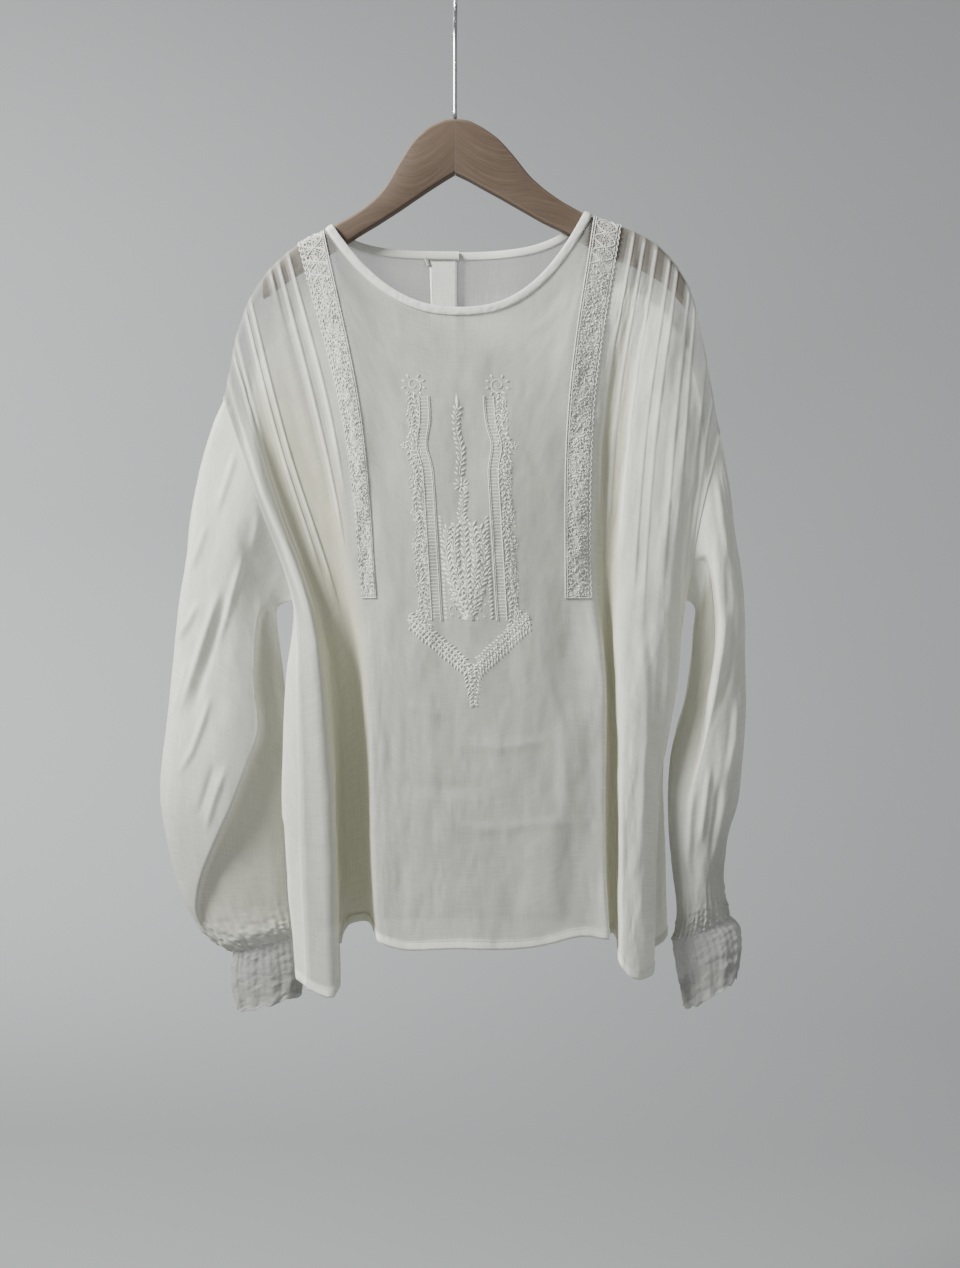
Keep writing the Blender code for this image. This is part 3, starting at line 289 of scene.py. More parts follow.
SLEEVE_RIGHT = (
    Ring(243, -424, 211, -578, 20, 17, 0.80, 0.0),
    Ring(252, -475, 220, -587, 24, 18, 0.62, 0.3),
    Ring(258, -521, 219, -612, 27, 19, 0.54, 0.6),
    Ring(265, -569, 216, -645, 29, 20, 0.52, 0.7),
    Ring(266, -620, 209, -680, 30, 20, 0.54, 0.6),
    Ring(267, -671, 199, -715, 30, 20, 0.60, 0.4),
    Ring(264, -721, 195, -749, 30, 20, 0.70, 0.1),
    Ring(260, -760, 195, -783, 29, 20, 0.80, 0.0),
    Ring(252, -790, 198, -814, 27, 19, 0.80, 0.0),
    Ring(248, -820, 203, -844, 24, 18, 0.80, 0.0),
    Ring(248, -847, 206, -868, 20, 16, 0.80, 0.0),
    Ring(250, -859, 204, -882, 16, 14, 0.80, 0.0),
    Ring(252, -869, 200, -892, 13, 13, 0.80, 0.0),
)
SLEEVE_ROUND = 0.8
SLEEVE_BLEND = 2.5
FOLD_SOFT = 0.045

# Cuffs: rings below the seam, in the sleeves' columns.
CUFF_LEFT = (
    Ring(-206, -914, -140, -900, 14, 14, 1.0, 0.0),
    Ring(-205, -934, -139, -920, 15, 15, 1.0, 0.0),
    Ring(-200, -955, -141, -941, 17, 16, 1.0, 0.0),
)
CUFF_RIGHT = (
    Ring(261, -878, 202, -908, 15, 14, 1.0, 0.0),
    Ring(263, -899, 206, -930, 16, 15, 1.0, 0.0),
    Ring(258, -926, 211, -954, 18, 16, 1.0, 0.0),
)

# Hanger arms: x, upper edge and lower edge. Under the cloth the upper edge is None, and
# follows the shoulder.
ARM_LEFT = (
    (0, -137, -187), (-10, -137.8, -193), (-24, -144, -202), (-38, -156.5, -211.5),
    (-51, -177, -220.5), (-62, -197.5, -227.5), (-72, -209, -234), (-84, -219, -241),
    (-98, -228, -250), (-106, -232, -254), (-112, None, -257), (-119, None, -260),
    (-128, None, -264), (-144, None, -271.5), (-160, None, -281.5), (-170, None, -290),
    (-176, None, -293),
)
ARM_RIGHT = (
    (0, -137, -187), (12, -137.8, -192.5), (26, -145, -200.5), (40, -155, -208),
    (54, -170.5, -216), (68, -189, -224), (82, -201.5, -232), (97, -212, -239),
    (112, -220.5, -245.5), (119, None, -248.5), (126, None, -251), (144, None, -256.5),
    (162, None, -262.5), (180, None, -271), (195, None, -281.5), (206, None, -294),
    (212, None, -302),
)

Tuck = namedtuple("Tuck", "line share end_z height")
TUCKS = (
    Tuck("seam_left", 0.50, -610, 0.9),
    Tuck("ridge_left", 0.32, -640, 1.0),
    Tuck("ridge_left", 0.70, -600, 1.0),
    Tuck("valley_left", 0.38, -590, 1.1),
    Tuck("valley_left", 0.62, -610, 1.1),
    Tuck("valley_left_inner", 0.30, -350, 1.1),
    Tuck("valley_left_inner", 0.50, -560, 1.1),
    Tuck("valley_left_inner", 0.75, -500, 1.1),
    Tuck("lace_right_outer", 0.55, -520, 0.5),
    Tuck("valley_right", 0.50, -540, 0.5),
    Tuck("valley_right_inner", 0.55, -560, 0.5),
    Tuck("fold_right_left", 0.30, -590, 0.5),
    Tuck("fold_right_left", 0.62, -610, 0.5),
    Tuck("fold_right_middle", 0.25, -580, 0.5),
    Tuck("fold_right_middle", 0.65, -600, 0.5),
    Tuck("fold_right_edge", 0.30, -610, 0.5),
    Tuck("fold_right_edge", 0.62, -560, 0.5),
)
TUCK_FADE = 70.0
TUCK_CREST = 0.16
TUCK_STEP = 0.10

# Creases, listed by piece: half width, height (below 0 for a trough) and the line that each
# follows, as seen from the camera on the plane of the hanger.
CREASES = {
    "sleeve_left": (
        (3.2, 2.6, (-235, -579), (-244, -599), (-256, -618)),
        (3.6, 3.2, (-213, -557), (-223, -591), (-236, -632), (-258, -697)),
        (4.0, -2.0, (-205, -560), (-215, -597), (-228, -636), (-247, -698)),
        (3.0, 2.4, (-223, -661), (-232, -691), (-242, -718), (-258, -744)),
        (3.4, 2.4, (-192, -528), (-201, -560), (-211, -595), (-222, -629)),
        (3.2, 2.0, (-244, -629), (-252, -661), (-262, -691)),
        (3.0, 1.8, (-228, -505), (-236, -531), (-244, -555)),
        (3.0, -1.6, (-220, -726), (-229, -755), (-238, -783)),
        (3.0, 2.0, (-209, -726), (-222, -763), (-232, -798)),
        (3.5, 2.2, (-198, -431), (-209, -466), (-222, -505)),
        (4.5, 1.8, (-178, -459), (-181, -505), (-189, -544)),
    ),
    "sleeve_right": (
        (4.0, 2.6, (249, -579), (246, -625), (236, -671), (229, -707)),
        (3.4, -2.0, (257, -588), (253, -634), (246, -682)),
        (3.4, 2.2, (260, -661), (257, -707), (249, -753)),
        (3.2, 2.2, (236, -726), (231, -763), (225, -809)),
        (3.0, -1.6, (246, -735), (240, -781), (233, -827)),
        (3.2, 2.0, (220, -744), (216, -790), (214, -836)),
        (3.4, 1.8, (240, -459), (246, -505), (253, -551)),
    ),
    "front_panel": (
        (4.0, 1.6, (170, -579), (176, -661), (174, -744), (170, -836)),
        (5.0, -1.4, (189, -597), (190, -671), (187, -763), (181, -855)),
        (6.0, 1.6, (-143, -542), (-128, -615), (-122, -726), (-119, -836)),
        (5.0, -1.2, (-133, -597), (-115, -671), (-111, -763)),
        (5.0, 0.9, (-5, -709), (41, -715), (97, -706)),
        (5.0, 0.8, (-32, -781), (23, -790), (97, -783), (133, -790)),
        (7.0, -0.9, (-60, -744), (-14, -753), (41, -750)),
        (5.0, 0.8, (-51, -671), (-23, -682), (-5, -689)),
        (6.0, 0.9, (78, -634), (97, -689), (102, -763), (98, -836)),
        (7.0, 1.1, (-51, -661), (-52, -744), (-47, -836)),
        (5.0, 0.8, (-55, -303), (-49, -336), (-23, -350)),
        (5.0, 0.7, (60, -339), (86, -321), (97, -303)),
    ),
}


def unit(vectors):
    """Vectors at unit length, along the last axis."""
    return vectors / np.maximum(np.linalg.norm(vectors, axis=-1, keepdims=True), 1e-9)


def soft_step(value):
    value = np.clip(value, 0.0, 1.0)
    return value * value * (3.0 - 2.0 * value)


def hill(distance, width):
    """A rounded hill, 1 at its middle."""
    return np.exp(-(distance / width) ** 2)


def run_along(line):
    """How far along a line each of its points lies."""
    steps = np.linalg.norm(np.diff(np.asarray(line, float), axis=0), axis=1)
    return np.concatenate([[0.0], np.cumsum(steps)])


def joined(*columns):
    """Points from their coordinates, any of which may be one number."""
    return np.stack(np.broadcast_arrays(*columns), axis=-1)


def read_at(spots, run, line):
    """Points of a line at distances along it."""
    return joined(*(np.interp(spots, run, column) for column in np.transpose(line)))


def crumple(seed, u, v):
    """Smooth hills and hollows from -1 to 1, one to a unit of u and v, alike on every run."""
    lattice = np.random.RandomState(seed).uniform(-1.0, 1.0, (61, 61))
    u, v = np.broadcast_arrays(u, v)
    low_u, low_v = np.floor(u).astype(int), np.floor(v).astype(int)
    part_u, part_v = soft_step(u - low_u), soft_step(v - low_v)
    near, far = (
        lattice[(low_u + i) % 61, low_v % 61] * (1 - part_v)
        + lattice[(low_u + i) % 61, (low_v + 1) % 61] * part_v for i in (0, 1))
    return near * (1 - part_u) + far * part_u


def neck_point(neck, share, out):
    """Points of the neck hole's edge, moved out from the hole, as x and z."""
    share = np.asarray(share, float)
    left = share < 0.0
    half = np.where(left, neck.low_x - neck.left_x, neck.right_x - neck.low_x)
    rise = np.where(left, neck.left_z, neck.right_z) - neck.low_z
    power = np.where(left, neck.left_power, neck.right_power)
    size = np.maximum(np.abs(share), 1e-6)
    slope = np.sign(share) * power * rise / half * size ** (power - 1.0)
    way = unit(joined(slope, -1.0))
    along = unit(np.where(left[..., None], SHOULDER_LEFT, SHOULDER_RIGHT))
    turn = soft_step((size - NECK_TURN) / (1.0 - NECK_TURN))[..., None]
    way = unit(way * (1.0 - turn) + along * turn)
    x = neck.low_x + half * share
    return x + out * way[..., 0], neck.low_z + rise * size ** power + out * way[..., 1]


def shoulder_line(neck, x):
    """Height of the shoulder's slope carried on over the neck hole."""
    left = neck.left_z + SHOULDER_LEFT[1] / SHOULDER_LEFT[0] * (x - neck.left_x)
    right = neck.right_z + SHOULDER_RIGHT[1] / SHOULDER_RIGHT[0] * (x - neck.right_x)
    return np.where(x < neck.low_x, left, right)


def roll(drop):
    """Share of the full depth where cloth has rolled over the shoulder by this drop."""
    left = 1.0 - np.clip(drop, 0.0, ROLL_RADIUS) / ROLL_RADIUS
    return np.sqrt(1.0 - left * left)


def rounded(corner, before, after, t):
    """A folded line's bend past a corner, which steps to and from it by these amounts."""
    return (1 - t) ** 2 * (corner + before) + 2 * t * (1 - t) * corner + t * t * (corner + after)


class Panel:
    """A piece of cloth read off a table of grain lines. face is -1 in front and +1 behind."""

    def __init__(self, lines, neck, face, seams):
        rows = list(lines.values())
        self.names = list(lines)
        self.neck = neck
        self.face = face
        self.last = len(rows) - 1
        self.seams = [self.last if seam else 0 for seam in seams]
        self.tucks = []
        self.on_neck = np.array([row.top_z is None for row in rows])
        self.neck_ends = np.array(
            [row.top_x if row.top_z is None else math.copysign(1.0, row.top_x) for row in rows])
        self.corners = np.array([row.corner for row in rows])
        self.top_corners = np.full(len(rows), 0.5)
        for k in range(self.last):
            if self.on_neck[k] != self.on_neck[k + 1]:
                self.top_corners[k if self.on_neck[k + 1] else k + 1] = 1e-6
        self.x = np.array([[row.top_x, *row[3:9]] for row in rows], float)
        self.y = np.array([row[10:17] for row in rows], float)
        edge_x, edge_z = neck_point(neck, self.neck_ends, BINDING_WIDTH + SEAM_GAP)
        self.x[:, 0] = np.where(self.on_neck, edge_x, self.x[:, 0])
        tops = [row.top_z or 0.0 for row in rows]
        self.ends = joined(np.where(self.on_neck, edge_z, tops), [row.hem_z for row in rows])

    def place(self, name, share=0.0):
        return self.names.index(name) + share

    def fold(self, values, corners, place):
        """Values on the folded line through a table's rows, each corner rounded by its share."""
        k = np.clip(np.floor(place).astype(int), 0, self.last - 1)
        share = (place - k)[:, None]
        here, there = values[k], values[k + 1]
        before, after = values[np.maximum(k - 1, 0)], values[np.minimum(k + 2, self.last)]
        near, far = corners[k][:, None], corners[k + 1][:, None]
        way = there - here
        bend = rounded(here, (before - here) * near, way * near, 0.5 + 0.5 * share / near)
        out = np.where((k[:, None] > 0) & (share < near), bend, here + way * share)
        bend = rounded(there, -way * far, (after - there) * far, 0.5 * (share - 1.0 + far) / far)
        return np.where((k[:, None] + 2 <= self.last) & (share > 1.0 - far), bend, out)

    def neck_share(self, place):
        """Where a place meets the neck hole, from -1 to 1, and which places do."""
        k = np.clip(np.floor(place).astype(int), 0, self.last - 1)
        share = np.clip(place - k, 0.0, 1.0)
        share = np.where(~self.on_neck[k], share ** NECK_CROWD, share)
        share = np.where(~self.on_neck[k + 1], 1.0 - (1.0 - share) ** NECK_CROWD, share)
        ends = self.neck_ends
        return ends[k] + (ends[k + 1] - ends[k]) * share, self.on_neck[k] | self.on_neck[k + 1]

    def stations(self, place):
        """x, y and z of places at the seven levels, and how far their tops hang down."""
        x = self.fold(self.x, self.corners, place)
        y = self.fold(self.y, self.corners, place)
        top = self.fold(joined(self.x[:, 0], self.y[:, 0]), self.top_corners, place)
        round_neck, meets = self.neck_share(place)
        neck_x, neck_z = neck_point(self.neck, round_neck, BINDING_WIDTH + SEAM_GAP)
        z = np.empty_like(x)
        z[:, 0] = np.where(meets, neck_z, self.fold(self.ends[:, :1], self.top_corners, place)[:, 0])
        x[:, 0] = np.where(meets, neck_x, top[:, 0])
        y[:, 0] = top[:, 1]
        z[:, 1] = 0.5 * (z[:, 0] + ARM_Z)
        z[:, 2:6] = ARM_Z, WAIST_Z, HIP_Z, LOW_Z
        z[:, 6] = self.fold(self.ends[:, 1:], np.full(self.last + 1, 0.5), place)[:, 0]
        drop = np.maximum(shoulder_line(self.neck, neck_x) - neck_z, 0.0)
        return x, y, z, np.where(meets, drop, 0.0)

    def top(self, place):
        return self.stations(place)[2][:, 0]

    def hem(self, place):
        return self.stations(place)[2][:, 6]

    def at(self, place, z):
        """Points of the panel at places and heights."""
        xs, ys, zs, drop = self.stations(place)
        k = np.sum(z[:, None] < zs[:, 1:6], axis=1)

        def pick(table):
            index = np.clip(k[:, None] + np.arange(-1, 3), 0, 6)
            return np.take_along_axis(table, index, axis=1).T

        above, high, low, below = pick(zs)
        span = low - high
        t = (z - high) / span
        found = []
        for table in (xs, ys):
            before, first, second, after = pick(table)
            slope_here = (second - before) / (low - above)
            slope_there = (after - first) / (below - high)
            found.append(
                (2 * t ** 3 - 3 * t ** 2 + 1) * first
                + (t ** 3 - 2 * t ** 2 + t) * span * slope_here
                + (3 * t ** 2 - 2 * t ** 3) * second
                + (t ** 3 - t ** 2) * span * slope_there)
        y = self.face * SEAM_GAP / 2 + found[1] * roll(drop + zs[:, 0] - z)
        return joined(found[0], y, z)

    def width(self, first, last, heights):
        """How wide the panel is between two places, at heights."""
        ends = [self.at(np.full(len(heights), float(p)), heights) for p in (first, last)]
        return np.linalg.norm(ends[1] - ends[0], axis=1)

    def normals(self, place, z):
        """Unit normals of the bare panel."""
        low, high = np.maximum(place - 0.01, 0.0), np.minimum(place + 0.01, self.last)
        across = (self.at(high, z) - self.at(low, z)) / (high - low)[:, None]
        down = self.at(place, z - 0.4) - self.at(place, z + 0.4)
        normal = unit(np.cross(across, down)) * self.face
        return normal * np.where(normal[:, 1:2] * self.face < 0.0, -1.0, 1.0)

    def find(self, x, z, low, high):
        """Places between two others that lie at x and z."""
        table = np.linspace(low, high, 60)
        place = np.interp(x, self.at(table, np.full(60, z.mean()))[:, 0], table)
        for _ in range(4):
            here = self.at(place, z)[:, 0]
            ahead = self.at(place + 0.01, z)[:, 0]
            place = np.clip(place + (x - here) * 0.01 / (ahead - here), low, high)
        return place

    def crumpled(self, place, z, seed):
        """Slack in a hanging panel: long soft hollows, and small crumples over them."""
        still = soft_step(place / 0.5) * soft_step((self.last - place) / 0.5)
        still = still * soft_step((self.top(place) - z) / 40.0)
        across = place * 26.0
        height = crumple(seed, across / 24.0 + 7.0, z / -90.0) * SLACK
        height += crumple(seed + 1, across / 10.0 + 5.0, z / -34.0) * SLACK * 0.36
        height += crumple(seed + 2, across / 4.0 + 3.0, z / -11.0) * SLACK * 0.13
        return height * still

    def tucked(self, place, z):
        """Height of the tucks at points, and how far their cloth lies double there."""
        return np.zeros((2, len(place)))

    def finished(self, place, z, lift=0.0):
        """Points of the panel with all its relief, lifted off it, and its normals there."""
        points, normals = self.at(place, z), self.normals(place, z)
        height = self.relief(place, z, points) + lift
        return points + normals * height[:, None], normals

    def seam(self, places, z):
        """Where a side seam has its allowance behind, from 0 to 1, as a grid."""
        share = np.zeros(z.shape)
        heights = np.linspace(-1000.0, -300.0, 60)
        for edge in self.seams:
            wide = self.width(edge, abs(edge - 1), heights)
            away = np.abs(places - edge)[:, None] * np.interp(z, heights, wide)
            share = np.maximum(share, soft_step((SEAM_ALLOWANCE + 0.8 - away) / 1.6))
        return share

    def spread(self, step, tuck_step):
        """Places of the panel's columns: even ones, and close ones over its tucks."""
        places = []
        for k in range(self.last):
            run = [run_along(self.at(np.linspace(k, k + 1, 12), np.full(12, level)))[-1]
                   for level in (-320.0, -450.0, -640.0, -800.0)]
            count = max(int(max(run) / step), 3)
            places += list(np.linspace(k, k + 1, count, endpoint=False))
        count = int(2 * 0.62 * TUCK_WIDTH / tuck_step)
        for _, middle, _, wide in self.tucks:
            half = 0.62 * TUCK_WIDTH / wide[-1]
            places = [p for p in places if abs(p - middle) > half]
            close = np.linspace(middle - half, middle + half, count)
            places += [p for p in close if 0.0 < p < self.last]
        return np.array(sorted({0.0, float(self.last), *places}))

    def sheet(self, step, tuck_step, shares):
        """Grid of the whole panel with its hem turned up behind, its places and how solid it is."""
        places = self.spread(step, tuck_step)
        top, hem = self.top(places)[:, None], self.hem(places)[:, None]
        z = top + (hem - top) * shares
        flat_places = np.repeat(places, len(shares))
        points, normals = (
            part.reshape(*z.shape, 3) for part in self.finished(flat_places, z.ravel()))
        band = soft_step((HEM_DEPTH + 0.6 - (z - hem)) / 1.2)
        seam = self.seam(places, z)
        points += normals * (0.45 * band + SEAM_HEIGHT * seam)[..., None]
        turned = [points[:, -1] - normals[:, -1] * 0.5 + (0.0, 0.0, 0.1)]
        for rise in (2.5, 5.5, HEM_DEPTH):
            back, way = self.finished(places, hem[:, 0] + rise)
            turned.append(back - way * 0.55)
        points = np.concatenate([points, np.stack(turned, axis=1)], axis=1)
        sheer = soft_step((SHEER_LENGTH - (top - z)) / SHEER_FADE) * self.bare(places)[:, None]
        solid = CLOTH_SOLID + (THICK_SOLID - CLOTH_SOLID) * self.backed(places)[:, None]
        solid = solid - (solid - SHEER_SOLID) * sheer
        folded = self.tucked(flat_places, z.ravel())[1].reshape(z.shape)
        double = np.maximum(np.maximum(band, seam), folded * TUCK_DOUBLE)
        solid = solid + (FOLDED_SOLID - solid) * double
        hem_solid = np.full((len(places), len(turned)), FOLDED_SOLID)
        return points, places, np.concatenate([solid, hem_solid], axis=1)


def creased(piece, points):
    """Height of a piece's creases at its points, on the side that the camera sees."""
    height = np.zeros(len(points))
    middle = np.array([CAMERA[0], CAMERA[2]])
    scale = (-CAMERA[1] / (points[:, 1] - CAMERA[1]))[:, None]
    spots = middle + (points[:, (0, 2)] - middle) * scale
    for high, width, path in ((crease[1], crease[0], crease[2:]) for crease in CREASES[piece]):
        path = np.array(path, float)
        run = run_along(path)
        run /= run[-1]
        nearest = np.full(len(points), 1e9)
        along = np.zeros(len(points))
        for start, end, low, far in zip(path[:-1], path[1:], run[:-1], run[1:]):
            way = end - start
            share = np.clip((spots - start) @ way / (way @ way), 0.0, 1.0)
            away = np.linalg.norm(spots - start - share[:, None] * way, axis=1)
            along = np.where(away < nearest, low + (far - low) * share, along)
            nearest = np.minimum(away, nearest)
        ends = soft_step(along * CREASE_FADE) * soft_step((1.0 - along) * CREASE_FADE)
        height += high * hill(nearest, width) * ends
    return height * soft_step((CREASE_BACK - points[:, 1]) / 8.0)


class FrontPanel(Panel):
    """The front, with its tucks and creases."""

    def __init__(self):
        super().__init__(FRONT, FRONT_NECK, -1.0, (False, True))
        heights = np.linspace(-225.0, -700.0, 60)
        for tuck in TUCKS:
            k = self.place(tuck.line)
            wide = self.width(k, k + 1, heights)
            self.tucks.append((tuck, k + tuck.share, heights[::-1], wide[::-1]))

    def tucked(self, place, z):
        """Stitched tucks, each a pleat whose free edge is on its right."""
        height, double = np.zeros((2, len(place)))
        sewn = 0.35 + 0.65 * soft_step((self.top(place) - z) / 9.0)
        for tuck, middle, heights, wide in self.tucks:
            share = (place - middle) * np.interp(z, heights, wide) / TUCK_WIDTH + 0.5
            rise = 0.15 + 0.85 * soft_step(share / (1.0 - TUCK_CREST))
            rise *= soft_step(share / TUCK_STEP)
            held = soft_step((1.0 - share) / TUCK_STEP) * sewn
            held = held * soft_step((z - tuck.end_z) / TUCK_FADE)
            held = np.where((share > 0.0) & (share < 1.0), held, 0.0)
            height += rise * held * TUCK_HEIGHT * tuck.height
            folded = 0.3 + 0.7 * soft_step((share - 0.30) / 0.25)
            double = np.maximum(double, folded * soft_step(share * 12.0) * held)
            below = soft_step((tuck.end_z + 90.0 - z) / 60.0)
            below = below * soft_step((z - tuck.end_z + 170.0) / 100.0)
            height += hill((share - 0.5) * TUCK_WIDTH, 6.0) * below * 1.3
        return height, double

    def at_lines(self, places, table):
        """Values of a table by grain line, read between the lines."""
        return np.interp(places, [self.place(name) for name in table], list(table.values()))

    def backed(self, places):
        return self.at_lines(places, BACKED)

    def bare(self, places):
        return self.at_lines(places, BARE)

    def relief(self, place, z, points):
        height = self.tucked(place, z)[0] + creased("front_panel", points)
        return height + self.crumpled(place, z, 11)

    def recess_shade_mask(self, places, shares):
        """How deep in its long side folds each point of the front lies, from 0 to 1, which sets the
        painted shade there.
        """
        top, hem = self.top(places)[:, None], self.hem(places)[:, None]
        z = (top + (hem - top) * shares).ravel()
        place = np.repeat(places, len(shares))
        y = self.at(place, z)[:, 1]
        painted_shade = np.zeros(len(z))
        for first, last in RECESSES:
            low, high = self.place(first), self.place(last)
            near, far = (self.at(np.full(len(z), float(p)), z)[:, 1] for p in (low, high))
            behind = y - near - (far - near) * np.clip((place - low) / (high - low), 0.0, 1.0)
            inside = (place > low) & (place < high)
            painted_shade = np.where(inside, soft_step(behind / RECESS_DEPTH), painted_shade)
        return painted_shade.reshape(len(places), len(shares))


class BackPanel(Panel):
    """Half of the back. The right half laps behind the left one above the slit."""

    def __init__(self, lines, seed):
        self.laps = lines is BACK_RIGHT
        self.seed = seed
        super().__init__(lines, BACK_NECK, 1.0, (self.laps,))

    def backed(self, places):
        return np.ones(len(places))

    def bare(self, places):
        return np.full(len(places), BACK_BARE)

    def at(self, place, z):
        points = super().at(place, z)
        if self.laps:
            share = np.clip(place, 0.0, 1.0)
            full_x, none_x, none_y = LAP_HEIGHTS
            over = soft_step((z - none_x) / (full_x - none_x))
            points[:, 0] -= LAP_WIDTH * (1.0 - share) ** 1.5 * over
            behind = soft_step((z - none_y) / (none_x - none_y))
            points[:, 1] += LAP_DEPTH * (1.0 - soft_step(2.0 * share - 1.0)) * behind
        return points

    def relief(self, place, z, points):
        calm = place if self.laps else self.last - place
        return self.crumpled(place, z, self.seed) * soft_step(calm / 0.6)


def panel_shares(count):
    """Shares of the way down: close at the shoulder, then even, and close at the hem."""
    top = [0.0, 0.0012, 0.003, 0.0055, 0.009]
    return np.concatenate([top, np.linspace(0.0135, 0.985, count), [0.989, 0.993, 0.9965, 1.0]])


def grid_normals(points):
    """Unit normals of a grid closed round its columns, pointing out of it."""
    across = np.roll(points, -1, axis=0) - np.roll(points, 1, axis=0)
    normals = unit(np.cross(unit(across), unit(np.gradient(points, axis=1))))
    outward = np.sum(normals * (points - points.mean(axis=0, keepdims=True)))
    return normals * math.copysign(1.0, outward)


def ring_points(table, place, angle):
    """Points of a sleeve at places down its rings and angles round them."""
    table = np.array(table, float)
    k = np.clip(np.floor(place).astype(int), 0, len(table) - 2)
    t = (place - k)[..., None]
    a, b, c, d = [table[np.clip(k + j, 0, len(table) - 1)] for j in (-1, 0, 1, 2)]
    ring = b + 0.5 * t * (c - a + t * (2 * a - 5 * b + 4 * c - d + t * (3 * (b - c) + d - a)))
    ring = Ring(*np.moveaxis(ring, -1, 0))
    share = (1.0 - np.cos(angle)) / 2.0
    swell = np.abs(np.sin(angle)) ** SLEEVE_ROUND
    fold = soft_step((share - ring.fold_at) / FOLD_SOFT + 0.5)
    before = angle <= math.pi
    y = np.where(before, -ring.front * (1.0 - ring.fold_step * fold), ring.back) * swell
    behind = np.where(before, fold * np.clip(ring.fold_step * 2.0, 0.0, 1.0), 0.0)
    x = ring.outer_x + (ring.inner_x - ring.outer_x) * share
    return joined(x, y, ring.outer_z + (ring.inner_z - ring.outer_z) * share), behind


def armhole_points(edges, angle):
    """Points of the armhole at angles: down the front's edge, and up the back's."""
    found = np.zeros((len(angle), 3))
    for (panel, place), chosen in zip(edges, (angle <= math.pi, angle > math.pi)):
        place = np.full(160, float(place))
        edge = panel.at(place, np.linspace(panel.top(place[:1])[0], ARM_Z, 160))
        run = run_along(edge)
        found[chosen] = read_at((1.0 - np.cos(angle[chosen])) / 2.0 * run[-1], run, edge)
    return found


def gathered(round_it, places, last, seed):
    """Slack and gathers of a sleeve: fine uneven pleats that die out up the arm."""
    wander = crumple(seed, round_it * 9.0, places * 0.3) * 0.012
    pleats = 0.5 + 0.5 * np.cos(TURN * GATHERS * (round_it + wander))
    long_ones = 0.6 + 0.4 * crumple(seed + 20, round_it * GATHERS, 1.5)
    reach = soft_step((places - last + 2.6 + long_ones) / 2.6)
    height = GATHER_HEIGHT * (pleats ** 1.3 - 0.3) * reach * long_ones
    height += crumple(seed + 70, round_it * 60.0, places * 5.0) * GATHER_CRINKLE * reach
    slack = crumple(seed + 40, round_it * 12.0 + 2.0, places * 0.55)
    slack += crumple(seed + 50, round_it * 30.0 + 2.0, places * 1.6) * 0.30
    slack += crumple(seed + 60, round_it * 60.0, places * 4.0) * 0.08
    return height + slack * SLEEVE_SLACK * soft_step((last - places) / 1.5)


def sleeve_sheet(side, table, edges, seed):
    """Grid of a sleeve from its armhole to the gathers at its cuff."""
    angle = np.linspace(0.0, TURN, 260, endpoint=False)
    last = len(table) - 1.0
    place = np.concatenate([np.linspace(0.0, 8.0, 150)[:-1], np.linspace(8.0, last, 75)])
    angles, places = np.meshgrid(angle, place, indexing="ij")
    points, behind = ring_points(table, places, angles)
    start, _ = ring_points(table, np.zeros(len(angle)), angle)
    fade = 1.0 - soft_step(places / SLEEVE_BLEND)
    points = points + (armhole_points(edges, angle) - start)[:, None, :] * fade[..., None]
    height = gathered(angles / TURN, places, last, seed)
    height += creased(f"sleeve_{side}", points.reshape(-1, 3)).reshape(height.shape)
    height *= soft_step(places / 0.5)
    behind = behind * soft_step(places - 1.0)
    # Painted shade: the sleeve is made thinner, and so darker, towards its cuff, falling off
    # downwards, and thinner still where it is folded back.
    solid = THICK_SOLID + (CLOTH_SOLID - THICK_SOLID) * soft_step((places / last - 0.35) / 0.5)
    return points + grid_normals(points) * height[..., None], behind, solid - 0.10 * behind


def cuff_sheet(rings, seed):
    """Grid of a cuff from its seam to its crinkled edge, turned in like a hem."""
    angle = np.linspace(0.0, TURN, 320, endpoint=False)
    place = np.linspace(0.0, len(rings) - 1.0, 66)
    angles, places = np.meshgrid(angle, place, indexing="ij")
    points, _ = ring_points(rings, places, angles)
    round_it, down = angles / TURN, places / place[-1]
    wander = crumple(seed, round_it * 14.0, places * 0.5) * 0.010
    crinkle = crumple(seed + 1, round_it * 60.0, places * 11.0) * 0.35
    crinkle += crumple(seed + 2, round_it * 24.0, places * 5.0) * 0.85
    lift = CUFF_WAVE_HEIGHT * np.cos(TURN * CUFF_WAVES * (round_it + wander)) * down
    lift += crinkle * (0.55 + 0.45 * down)
    lift += np.cos(TURN * GATHERS * (round_it + wander)) * (1.0 - down) * 0.35
    points = points + grid_normals(points) * lift[..., None]
    points[..., 2] += crumple(seed + 3, round_it * 26.0, 0.0) * 1.6 * down
    inner = (points - grid_normals(points) * 0.6)[:, ::-1][:, :22]
    return np.concatenate([points, inner], axis=1)


